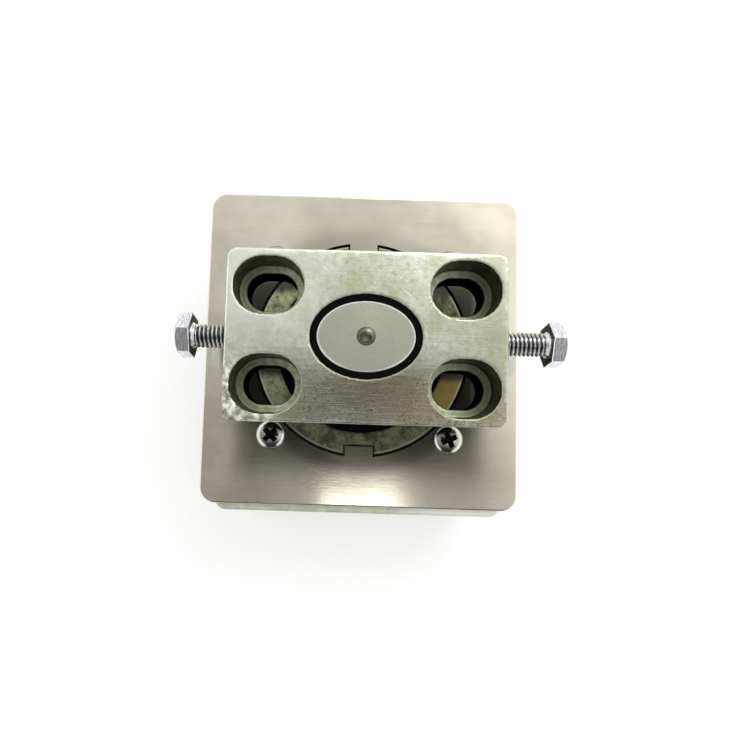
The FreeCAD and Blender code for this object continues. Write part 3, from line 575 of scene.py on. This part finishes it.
# %% Voxel copy of the door block
def copy_of(node, name):
    """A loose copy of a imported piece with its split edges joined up."""
    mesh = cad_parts[node].data.copy()
    mesh.name = name
    shell = bmesh.new()
    shell.from_mesh(mesh)
    bmesh.ops.remove_doubles(shell, verts=shell.verts, dist=0.002 * MM)
    shell.to_mesh(mesh)
    shell.free()
    piece = bpy.data.objects.new(name, mesh)
    bpy.context.scene.collection.objects.link(piece)
    return piece


def settle(piece):
    """Bakes the modifiers of a piece into its mesh."""
    bpy.context.view_layer.update()
    evaluated = piece.evaluated_get(bpy.context.evaluated_depsgraph_get())
    mesh = bpy.data.meshes.new_from_object(evaluated)
    piece.modifiers.clear()
    piece.data = mesh


VOXEL = 0.36
block = copy_of("door_block", "cast_block")
remesh = block.modifiers.new("voxels", "REMESH")
remesh.mode = "VOXEL"
remesh.voxel_size = VOXEL * MM
settle(block)
print("block faces:", len(block.data.polygons))

# %% [markdown]
# Each point of the block now knows how far it is from the top, the sides and the ends. A point
# with two small distances is near an edge, and there the skin moves inwards by a noise. At the
# front left corner the grinding belt missed the casting, so its top stays lower and lumpy.

# %% Worn edges and cast lumps
EDGE_REACH = 1.6
CHIP_DEPTH = 0.4
WAVE_DEPTH = 0.05
CORNER_REACH = 8.5
LUMP_DEPTH = 0.5
CORNER_STRETCH = (0.75, 0.62, 0.6)
COARSE_LUMPS = 0.45
FINE_LUMPS = 1.3
WAVES = 0.28
block_low, block_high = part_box("door_block")
low = np.array(block_low) / MM
high = np.array(block_high) / MM
places = np.empty(len(block.data.vertices) * 3, np.float32)
block.data.vertices.foreach_get("co", places)
places = places.reshape(-1, 3) / MM
normals = np.array([vertex.normal for vertex in block.data.vertices])
depths = np.minimum(places - low, high - places)
edge_distance = np.partition(depths, 1, axis=1)[:, 1]
edge = np.clip(1 - edge_distance / EDGE_REACH, 0, 1)
rough_corner = np.array((low[0], low[1], high[2]))
corner_distance = np.linalg.norm((places - rough_corner) * CORNER_STRETCH, axis=1)
rough = np.clip(1.3 - corner_distance / CORNER_REACH, 0, 1)
on_top = (high[2] - places[:, 2] < VOXEL) & (depths[:, :2].min(axis=1) < CORNER_REACH)
on_side = depths[:, :2].min(axis=1) < VOXEL
moves = np.zeros(len(places))
for index in np.nonzero((edge > 0) | on_side | (on_top & (rough > 0)))[0]:
    point = Vector(places[index])
    lump = noise.noise(point * COARSE_LUMPS) + 0.6 * noise.noise(point * FINE_LUMPS)
    moves[index] = CHIP_DEPTH * edge[index] * max(rough[index], 0.25) * max(0.0, lump + 0.25)
    moves[index] += WAVE_DEPTH * on_side[index] * noise.noise(point * WAVES)
    moves[index] += LUMP_DEPTH * on_top[index] * rough[index] * max(0.0, lump + 0.5)
places -= normals * moves[:, None]
block.data.vertices.foreach_set("co", (places * MM).astype(np.float32).ravel())
block.data.update()
print("deepest chip in mm: %.2f" % moves.max())

# %% [markdown]
# One finish has to show three skins: the ground top with its scratches, the cast sides, and the
# olive film in the slots. Three materials would leave hard borders between faces, so one tree
# asks for each point's place and the way it faces, and blends the skins. Clouds, mottling and the
# streaks of the belt come first, on all of it. Scratches are noise that is stretched along one
# direction and kept only where it is strongest, laid in three directions.

# %% Ground zinc of the door block
block_zinc, shader = new_finish("block_zinc", 0.9, 0.4)
clouds = blotches(block_zinc, 9.0)
mottle = blotches(block_zinc, 1.4, 9.0)
streaks = blotches(block_zinc, 0.13, 4.0, (0.022, 1.0, 1.0))
cloudy = limits(block_zinc, clouds, 0.35, 0.65)
tone = between(block_zinc, cloudy, (0.58, 0.62, 0.50), (0.74, 0.78, 0.67))
tone = between(block_zinc, limits(block_zinc, mottle, 0.4, 0.85), tone, (0.38, 0.40, 0.29))
tone = between(block_zinc, limits(block_zinc, streaks, 0.45, 0.9), tone, (0.36, 0.38, 0.30))
tone = between(block_zinc, speckle(block_zinc, 0.3, 0.05), tone, (0.50, 0.52, 0.41))
for turn, tint in ((38, (0.90, 0.93, 0.85)), (-52, (0.33, 0.34, 0.26)), (81, (0.86, 0.89, 0.80))):
    lines = blotches(block_zinc, 0.2, 1.0, (0.03, 1.0, 0.2), turn)
    scratch = limits(block_zinc, lines, 0.70, 0.75)
    tone = between(block_zinc, scratch, tone, tint)
stains = limits(block_zinc, blotches(block_zinc, 5.0, 8.0), 0.48, 0.68)
tone = between(block_zinc, times(block_zinc, stains, 0.65), tone, (0.47, 0.475, 0.29))
grain = relief(block_zinc, blotches(block_zinc, 0.5), 0.03)
feed(block_zinc, shader.inputs["Normal"], relief(block_zinc, streaks, 0.02, grain))
print("ground zinc nodes:", len(block_zinc.node_tree.nodes))

# %% [markdown]
# The top is painted darker at the right and paler at the back left, as the light falls on it. Use
# has worn it dark along the front, where a dark reflection is painted in as well, with some rust,
# grit and glints, and it is still raw from the mould at the front left corner. The marks could be
# drawn as curves, but they have no edges, so each is a soft spot in millimetres that is broken up by
# the patterns of the metal.

# %% Wear and painted light on top of the block
# Painted shade: darker at the right
painted_shade_right = patch(block_zinc, (29, 2, 57), (16, 24, 10), 0.7)
tone = between(block_zinc, painted_shade_right, tone, (0.40, 0.405, 0.28))
# Painted light: paler at the back left
painted_light_spot = patch(block_zinc, (-27, 11, 57), (22, 20, 10), 1.1)
tone = between(block_zinc, painted_light_spot, tone, (0.84, 0.88, 0.77))
# Wear along the front, with a painted dark reflection in it
wear_and_dark_reflection = patch(block_zinc, (2, -13, 57), (30, 13, 10), 1.9)
wear_and_dark_reflection = times(block_zinc, wear_and_dark_reflection, limits(block_zinc, streaks, 0.1, 0.75))
tone = between(block_zinc, wear_and_dark_reflection, tone, (0.25, 0.23, 0.165))
rust = patch(block_zinc, (20, -17, 57), (21, 10, 8), 1.2)
rust = times(block_zinc, rust, limits(block_zinc, mottle, 0.2, 0.8))
tone = between(block_zinc, rust, tone, (0.43, 0.325, 0.20))
front = limits(block_zinc, spot(block_zinc, (0, -16, 57), (42, 11, 8)), 0.0, 0.4)
grit = times(block_zinc, front, speckle(block_zinc, 0.34, 0.05))
tone = between(block_zinc, grit, tone, (0.11, 0.115, 0.08))
glints = times(block_zinc, front, speckle(block_zinc, 0.42, -0.02))
tone = between(block_zinc, glints, tone, (0.66, 0.66, 0.57))
cast_skin = limits(block_zinc, spot(block_zinc, (-33, -20, 56), (17, 19, 14)), 0.1, 0.45)
lumpy = limits(block_zinc, mottle, 0.34, 0.66)
cast_tone = between(block_zinc, lumpy, (0.30, 0.32, 0.235), (0.88, 0.91, 0.81))
tone = between(block_zinc, cast_skin, tone, cast_tone)
polish = ranged(block_zinc, clouds, 0.26, 0.4)
gloss = reckon(block_zinc, "ADD", polish, ranged(block_zinc, cast_skin, 0.0, 0.3))
feed(block_zinc, shader.inputs["Roughness"], gloss)
print("with wear:", len(block_zinc.node_tree.nodes))

# %% [markdown]
# The belt can't reach into the slots, so they keep the olive film. On the walls it is darkened with
# painted shade, on the ledges it is dusty and painted lighter towards the middle of the block, as the
# light falls there, and below the ledges it is painted black as the shade deep in the slots. Their
# rounded rims are dull. A mask painted on the mesh would be lost with the next voxel size, so boxes in
# millimetres, the height and the slope decide which tone a point gets. Dust, the painted black below
# and dull rims don't shine, so there the finish turns from metal to matt.

# %% Rims and slots of the block
def inside_box(finish, low, high, soft):
    """1 inside a box given in millimetres and 0 outside it, with a soft border."""
    axes = axes_in_mm(finish)
    mask = None
    for axis, (start, end) in enumerate(zip(low, high)):
        rising = limits(finish, axes[axis], start - soft, start + soft)
        falling = limits(finish, axes[axis], end + soft, end - soft)
        both = times(finish, rising, falling)
        mask = both if mask is None else times(finish, mask, both)
    return mask


RIM_INSET = 1.6
SKIN = 1.0
TOP_SKIN = 0.45
EDGE_SKIN = 0.15
LEDGE_DEPTH = 8.5
facing = facing_up(block_zinc)
inner_low = low + RIM_INSET
inner_high = high - (RIM_INSET, RIM_INSET, -RIM_INSET)
rims = inside_box(block_zinc, inner_low, inner_high, 0.4)
rims = times(block_zinc, rims, limits(block_zinc, facing, 0.99, 0.93))
rims = times(block_zinc, rims, ranged(block_zinc, cast_skin, 1.0, 0.2))
tone = between(block_zinc, times(block_zinc, rims, 0.8), tone, (0.34, 0.355, 0.25))
film_low = [low[0] + SKIN, low[1] + SKIN, low[2] - SKIN]
film_high = [high[0] - SKIN, high[1] - SKIN, high[2] - TOP_SKIN]
film = inside_box(block_zinc, film_low, film_high, 0.15)
film_edge = inside_box(block_zinc, film_low, film_high[:2] + [high[2] - EDGE_SKIN], 0.1)
steep = limits(block_zinc, facing, 0.85, 0.55)
film = reckon(block_zinc, "MAXIMUM", film, times(block_zinc, film_edge, steep))
ledge = limits(block_zinc, facing, 0.4, 0.95)
levels = axes_in_mm(block_zinc)
# Painted light: the ledges are lighter towards the middle of the block
lit_towards_middle = limits(block_zinc, reckon(block_zinc, "ABSOLUTE", levels["X"]), 29.0, 17.0)
ledge_tone = between(block_zinc, lit_towards_middle, (0.25, 0.275, 0.165), (0.88, 0.96, 0.70))
ledge_grime = ranged(block_zinc, limits(block_zinc, mottle, 0.3, 0.7), 0.45, 0.0)
ledge_tone = between(block_zinc, ledge_grime, ledge_tone, (0.10, 0.11, 0.06))
# Painted shade darkens the film on the slot walls
wall_film_and_shade = between(block_zinc, 0.3, olive_film(block_zinc), (0.012, 0.02, 0.004))
slot_tone = between(block_zinc, ledge, wall_film_and_shade, ledge_tone)
ledge_level = high[2] - LEDGE_DEPTH
# Painted shade: black below the ledges, deep in the slots
below = limits(block_zinc, levels["Z"], ledge_level, ledge_level - 0.5)
below = times(block_zinc, below, limits(block_zinc, facing, -0.9, -0.6))
slot_tone = between(block_zinc, below, slot_tone, (0.004, 0.005, 0.002))
feed(block_zinc, shader.inputs["Base Color"], between(block_zinc, film, tone, slot_tone))
deep_shade = times(block_zinc, film, below)
dusty = times(block_zinc, times(block_zinc, film, ledge), 0.85)
dull_rims = times(block_zinc, rims, ranged(block_zinc, film, 0.9, 0.0))
matt = reckon(block_zinc, "MAXIMUM", reckon(block_zinc, "MAXIMUM", deep_shade, dusty), dull_rims)
feed(block_zinc, shader.inputs["Metallic"], ranged(block_zinc, matt, 0.9, 0.0))
feed(block_zinc, shader.inputs["Specular IOR Level"], ranged(block_zinc, matt, 0.5, 0.0))
block.data.materials.clear()
block.data.materials.append(block_zinc)
block.data.shade_smooth()
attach(block, "door_block")
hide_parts("door_block")
print("whole block finish:", len(block_zinc.node_tree.nodes))

# %% [markdown]
# A bolt's thread is a groove that climbs one pitch in each turn. A stack of rings would look
# right at a glance but never climb, so the shank is a grid of points whose radius follows the
# height and the angle together. The head is the same kind of grid with a hexagonal radius and a
# turned chamfer, and a union makes one closed solid of both.

# %% Grid solids for turned pieces
def grid_solid(name, heights, sides, radius_at, height_at=None):
    """A closed solid of rings along Z; each point's radius and height may follow its angle."""
    points = []
    for height in heights:
        for side in range(sides):
            angle = 2 * math.pi * side / sides
            radius = radius_at(height, angle)
            rise = height if height_at is None else height_at(height, angle)
            points.append((radius * math.cos(angle), radius * math.sin(angle), rise))
    faces = []
    for ring in range(len(heights) - 1):
        for side in range(sides):
            start = ring * sides
            above = start + sides
            following = (side + 1) % sides
            faces.append((start + side, start + following, above + following, above + side))
    faces.append(tuple(reversed(range(sides))))
    last = (len(heights) - 1) * sides
    faces.append(tuple(range(last, last + sides)))
    mesh = bpy.data.meshes.new(name)
    mesh.from_pydata([Vector(point) * MM for point in points], [], faces)
    piece = bpy.data.objects.new(name, mesh)
    bpy.context.scene.collection.objects.link(piece)
    return piece


def joined(piece, other, operation):
    """Adds or cuts another solid, which is used up."""
    boolean = piece.modifiers.new("join", "BOOLEAN")
    boolean.operation = operation
    boolean.solver = "EXACT"
    boolean.object = other
    settle(piece)
    bpy.data.objects.remove(other)


def thread_depth_at(height, angle, pitch):
    """Share of the full groove depth, 0 on a crest and 1 in a root."""
    phase = (height / pitch - angle / (2 * math.pi)) % 1.0
    return min(1.0, max(0.0, (abs(phase - 0.5) * 2 - 0.12) / 0.66))


print("grid tools ready")

# %% [markdown]
# Both bolts are M6, and a cut thread is a little thinner than its name. It runs out just below the
# head, where the die stopped and the neck flares out, and the free end has a small cone. A plain
# cylinder with a bumpy finish would show a smooth edge against the light, so the thread is real.

# %% Threaded shank of the bolts
BOLT_RADIUS = 2.89
BOLT_PITCH = 1.0
BOLT_GROOVE = 0.58
BOLT_LENGTH = 20.0
BOLT_RUN_OUT = 0.9
NECK_HEIGHT = 0.9
NECK_FLARE = 0.6
NECK_CUT = 0.25
BOLT_TIP = 0.8
RINGS_PER_PITCH = 10
BOLT_SIDES = 48
SUNK = 0.5


def bolt_radius_at(height, angle):
    groove = BOLT_GROOVE * thread_depth_at(height, angle, BOLT_PITCH)
    fade = min(1.0, max(0.0, (height - BOLT_RUN_OUT / 2) / BOLT_RUN_OUT))
    flare = NECK_FLARE * max(0.0, 1 - height / NECK_HEIGHT) ** 2 if height > 0 else NECK_FLARE
    radius = BOLT_RADIUS - groove * fade - NECK_CUT * (1 - fade) + flare
    return min(radius, BOLT_RADIUS - BOLT_TIP + max(0.0, BOLT_LENGTH - height))


def make_shank(name):
    rings = int(BOLT_LENGTH / BOLT_PITCH * RINGS_PER_PITCH)
    heights = [BOLT_LENGTH * ring / rings for ring in range(rings + 1)]
    heights[0] = -SUNK
    return grid_solid(name, heights, BOLT_SIDES, bolt_radius_at)


print("turns of thread:", BOLT_LENGTH / BOLT_PITCH)

# %% [markdown]
# The heads are slim hexagons, turned down at the corners. A six-sided cylinder with a bevel would
# round every edge alike, so the top ring is a circle inside the flats and the ring below it sinks
# towards the corners, as the lathe leaves them.

# %% Hexagon heads of the bolts
HEAD_HEIGHT = 3.3
HEAD_FLATS = 9.6
HEAD_SIDES = 96
HEAD_FACE = HEAD_FLATS / 2 * 0.94
CHAMFER_ANGLE = 30
EDGE_BREAK = 0.12
HAIR = 0.01


def hexagon_radius(angle):
    sixth = math.pi / 3
    return HEAD_FLATS / 2 / math.cos(angle % sixth - sixth / 2)


def head_radius_at(height, angle):
    if height > HEAD_HEIGHT - HAIR:
        return HEAD_FACE
    edge_break = EDGE_BREAK if height < HAIR else 0.0
    return hexagon_radius(angle) - edge_break


def head_height_at(height, angle):
    if HEAD_HEIGHT / 2 < height < HEAD_HEIGHT - HAIR:
        beyond = hexagon_radius(angle) - HEAD_FACE
        return HEAD_HEIGHT - beyond * math.tan(math.radians(CHAMFER_ANGLE))
    return height


def make_head(name):
    rings = [0.0, EDGE_BREAK, HEAD_HEIGHT * 0.75, HEAD_HEIGHT]
    return grid_solid(name, rings, HEAD_SIDES, head_radius_at, head_height_at)


print("across the corners in mm: %.2f" % (2 * hexagon_radius(0.0)))

# %% [markdown]
# A union makes one closed solid of shank and head. The bolts lie along X, the heads outwards, and
# the hexagons have stopped a little turned from level. Each takes the place of its packed bolt and
# rides on its own body, so it moves in and out with its joint.

# %% Two adjusting bolts
HEAD_TURN = 19.0


def make_bolt(name, node, body, outwards):
    bolt = make_shank(name)
    head = make_head(name + "_head")
    turn = math.radians(90 + outwards * HEAD_TURN)
    head.data.transform(Matrix.Rotation(math.pi, 4, "Y") @ Matrix.Rotation(turn, 4, "Z"))
    bpy.context.view_layer.update()
    joined(bolt, head, "UNION")
    low_corner, high_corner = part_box(node)
    middle = (low_corner + high_corner) / 2
    outer_end = high_corner.x if outwards > 0 else low_corner.x
    bearing_face = outer_end - outwards * HEAD_HEIGHT * MM
    along_x = Matrix.Rotation(math.radians(-90 * outwards), 4, "Y")
    bolt.data.transform(Matrix.Translation((bearing_face, middle.y, middle.z)) @ along_x)
    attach(bolt, body)
    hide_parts(node)
    print(name, "faces:", len(bolt.data.polygons))
    return bolt


bolts = [
    make_bolt("left_bolt_threaded", "left_adjusting_bolt", "left_bolt", -1),
    make_bolt("right_bolt_threaded", "right_adjusting_bolt", "right_bolt", 1),
]

# %% [markdown]
# The bolts wear bright zinc with a bluish passivate over the marks of the hexagon die. It shines on
# the facets and is greyer on the end faces. The thread roots and the faces under the heads are
# painted dark as shade. Such shade could be painted on, but the depth of the groove is the distance
# from the bolt's own axis, and a face looks inwards when its normal points against its place
# along X, so the painted shade can follow both exactly.

# %% Bright zinc of the bolts
bright_zinc, shader = new_finish("bright_zinc", 1.0, 0.3)
marks = blotches(bright_zinc, 0.5, 4.0, (2.2, 0.3, 0.3))
die_marks = limits(bright_zinc, marks, 0.3, 0.7)
tone = between(bright_zinc, die_marks, (0.54, 0.55, 0.61), (0.94, 0.95, 0.98))
axis_height = (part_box("left_adjusting_bolt")[0].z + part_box("left_adjusting_bolt")[1].z) / 2 / MM
rod = add_node(bright_zinc, "ShaderNodeVectorMath", operation="LENGTH")
feed(bright_zinc, rod.inputs[0], place_in_mm(bright_zinc, (0, 1, 1), (0, 0, axis_height)))
inwards = add_node(bright_zinc, "ShaderNodeVectorMath", operation="MULTIPLY")
feed(bright_zinc, inwards.inputs[0], place_in_mm(bright_zinc))
feed(bright_zinc, inwards.inputs[1], add_node(bright_zinc, "ShaderNodeTexCoord").outputs["Normal"])
sides = add_node(bright_zinc, "ShaderNodeSeparateXYZ")
feed(bright_zinc, sides.inputs[0], inwards.outputs["Vector"])
# Painted shade in the thread roots
root_shade = limits(bright_zinc, rod.outputs["Value"], BOLT_RADIUS - 0.12, BOLT_RADIUS - BOLT_GROOVE)
root_shade = times(bright_zinc, root_shade, limits(bright_zinc, sides.outputs["X"], 42.0, 38.0))
tone = between(bright_zinc, root_shade, tone, (0.06, 0.065, 0.055))
ends = times(bright_zinc, limits(bright_zinc, sides.outputs["X"], 38.0, 42.0), 0.7)
tone = between(bright_zinc, ends, tone, (0.42, 0.43, 0.48))
# Painted shade on the faces under the heads
shade_under_head = limits(bright_zinc, sides.outputs["X"], -36.5, -40.0)
tone = between(bright_zinc, shade_under_head, tone, (0.025, 0.027, 0.024))
feed(bright_zinc, shader.inputs["Base Color"], tone)
feed(bright_zinc, shader.inputs["Roughness"], ranged(bright_zinc, marks, 0.14, 0.34))
feed(bright_zinc, shader.inputs["Normal"], relief(bright_zinc, marks, 0.02))
for bolt in bolts:
    bolt.data.materials.clear()
    bolt.data.materials.append(bright_zinc)
    bolt.data.shade_smooth()
    bolt.data.set_sharp_from_angle(angle=math.radians(35))
print("bright zinc nodes:", len(bright_zinc.node_tree.nodes))

# %% [markdown]
# The cover screws are M4 pan heads. One profile gives the whole screw: a threaded shank below the
# plate, a short rim and a flat dome above it. A squashed sphere would do for the dome, but it
# would need a second join, and the grid of rings is already there.

# %% Profile of the cover screws
SCREW_HEAD = 4.0
SCREW_RISE = 2.6
SCREW_RIM = 0.6
SCREW_SHANK = 2.0
SCREW_PITCH = 0.7
SCREW_LENGTH = 8.4
SCREW_GROOVE = 0.38
SCREW_TIP = 0.5
RIM_BREAK = 0.15
DOME_POWER = 2.1
DOME_END = 0.995
THREAD_RINGS = 8
DOME_RINGS = 9


def screw_radius_at(height, angle):
    if height < 0:
        groove = SCREW_GROOVE * thread_depth_at(height, angle, SCREW_PITCH)
        return min(SCREW_SHANK - groove, SCREW_SHANK - SCREW_TIP + (height + SCREW_LENGTH))
    if height < SCREW_RIM:
        return SCREW_HEAD - RIM_BREAK * (1 - height / SCREW_RIM)
    lift = (height - SCREW_RIM) / (SCREW_RISE - SCREW_RIM)
    return SCREW_HEAD * math.sqrt(max(0.0, 1 - (DOME_END * lift) ** DOME_POWER))


shank_rings = []
for ring in range(int(SCREW_LENGTH / SCREW_PITCH * THREAD_RINGS)):
    shank_rings.append(-SCREW_LENGTH + SCREW_PITCH / THREAD_RINGS * ring)
dome_rings = []
for ring in range(DOME_RINGS + 1):
    dome_rings.append(SCREW_RIM + (SCREW_RISE - SCREW_RIM) * (1 - (1 - ring / DOME_RINGS) ** 2))
screw_rings = shank_rings + [-0.001, 0.0, 0.12] + dome_rings
print("rings of a screw:", len(screw_rings))

# %% [markdown]
# The cross recess is pressed by a tapered punch, so two tapered wings are cut out of the dome, each
# turned from the other by a quarter. The recess and a ring round the rim are painted dark as shade.
# A mask by height alone would also darken the dome, so the faces are marked one by one, and the
# finish reads the mark.

# %% Cross recess and its painted shade
RECESS_REACH = 2.75
RECESS_WIDTH = 1.6
RECESS_DEPTH = 1.7
FLOOR_REACH_SHARE = 0.42
FLOOR_WIDTH_SHARE = 0.6
CUTTER_ABOVE = 0.4
RIM_SHADE = 0.45
RIM_MARK = 0.85
UNDER_DOME = 0.12


def mark_painted_shade(screw):
    """Writes 1 on the faces of the recess and less round the rim, where the finish paints shade."""
    recess_shade = screw.data.attributes.new("recess_shade", "FLOAT", "FACE")
    for face, mark in zip(screw.data.polygons, recess_shade.data):
        across = face.center.xy.length / MM
        lift = max(0.0, 1 - (across / SCREW_HEAD) ** 2) ** (1 / DOME_POWER)
        dome = SCREW_RIM + (SCREW_RISE - SCREW_RIM) * lift
        height = face.center.z / MM
        in_recess = 0.0 < height < dome - UNDER_DOME and across < RECESS_REACH
        mark.value = 1.0 if in_recess else 0.0
        if height > 0.0 and across > SCREW_HEAD - RIM_SHADE:
            mark.value = RIM_MARK


def recess_wing(name, turn):
    """One tapered wing of the cross, wide at the top of the head."""
    shell = bmesh.new()
    bmesh.ops.create_cube(shell, size=1.0)
    for point in shell.verts:
        at_top = point.co.z > 0
        reach = RECESS_REACH if at_top else RECESS_REACH * FLOOR_REACH_SHARE
        width = RECESS_WIDTH if at_top else RECESS_WIDTH * FLOOR_WIDTH_SHARE
        rise = SCREW_RISE + CUTTER_ABOVE if at_top else SCREW_RISE - RECESS_DEPTH
        point.co = Vector((point.co.x * reach * 2, point.co.y * width, rise)) * MM
    bmesh.ops.rotate(shell, verts=shell.verts, matrix=Matrix.Rotation(turn, 3, "Z"))
    mesh = bpy.data.meshes.new(name)
    shell.to_mesh(mesh)
    shell.free()
    cutter = bpy.data.objects.new(name, mesh)
    bpy.context.scene.collection.objects.link(cutter)
    return cutter


print("recess depth in mm:", RECESS_DEPTH)

# %% [markdown]
# Four screws hold the plate, one near each corner, and each stopped at its own angle when it was
# driven home. One screw could be made and copied, but the angles would then have to be turned in
# place. Here each is cut at the origin, turned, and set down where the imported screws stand.

# %% Four cover screws
SCREW_ANGLES = {(-1, -1): 45, (1, -1): 24, (-1, 1): 70, (1, 1): 8}
SCREW_SIDES = 64
screw_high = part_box("cover_screws")[1]
plate_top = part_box("cover_plate")[1].z
reach_x = screw_high.x / MM - SCREW_HEAD
reach_y = screw_high.y / MM - SCREW_HEAD
screws = []
for (side, end), angle in SCREW_ANGLES.items():
    name = "cover_screw_%d" % (len(screws) + 1)
    screw = grid_solid(name, screw_rings, SCREW_SIDES, screw_radius_at)
    for turn in (0.0, math.pi / 2):
        joined(screw, recess_wing(name + "_wing", turn), "DIFFERENCE")
    mark_painted_shade(screw)
    place = Matrix.Translation((side * reach_x * MM, end * reach_y * MM, plate_top))
    screw.data.transform(place @ Matrix.Rotation(math.radians(angle), 4, "Z"))
    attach(screw, "base")
    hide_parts("cover_screws")
    screws.append(screw)
print("screws:", len(screws), "faces each:", len(screws[0].data.polygons))

# %% [markdown]
# Stainless screws are tumbled until they shine. They mirror the studio, so the finish needs little
# colour: a grey steel and fine marks in the gloss. The faces that were marked for painted shade turn
# nearly black and lose their shine, which a darker metal alone would keep at a flat angle.

# %% Shiny stainless of the screws
screw_steel, shader = new_finish("screw_stainless", 1.0, 0.1)
marks = blotches(screw_steel, 0.7)
recess_shade = add_node(screw_steel, "ShaderNodeAttribute", attribute_name="recess_shade").outputs["Fac"]
tone = between(screw_steel, marks, (0.38, 0.37, 0.35), (0.55, 0.54, 0.51))
# Painted shade: the marked faces turn nearly black
feed(screw_steel, shader.inputs["Base Color"], between(screw_steel, recess_shade, tone, (0.012, 0.011, 0.010)))
feed(screw_steel, shader.inputs["Metallic"], ranged(screw_steel, recess_shade, 1.0, 0.0))
feed(screw_steel, shader.inputs["Specular IOR Level"], ranged(screw_steel, recess_shade, 0.5, 0.0))
feed(screw_steel, shader.inputs["Roughness"], ranged(screw_steel, marks, 0.05, 0.13))
feed(screw_steel, shader.inputs["Normal"], relief(screw_steel, marks, 0.01))
for screw in screws:
    screw.data.materials.clear()
    screw.data.materials.append(screw_steel)
    screw.data.shade_smooth()
    screw.data.set_sharp_from_angle(angle=math.radians(38))
print("screw steel nodes:", len(screw_steel.node_tree.nodes))
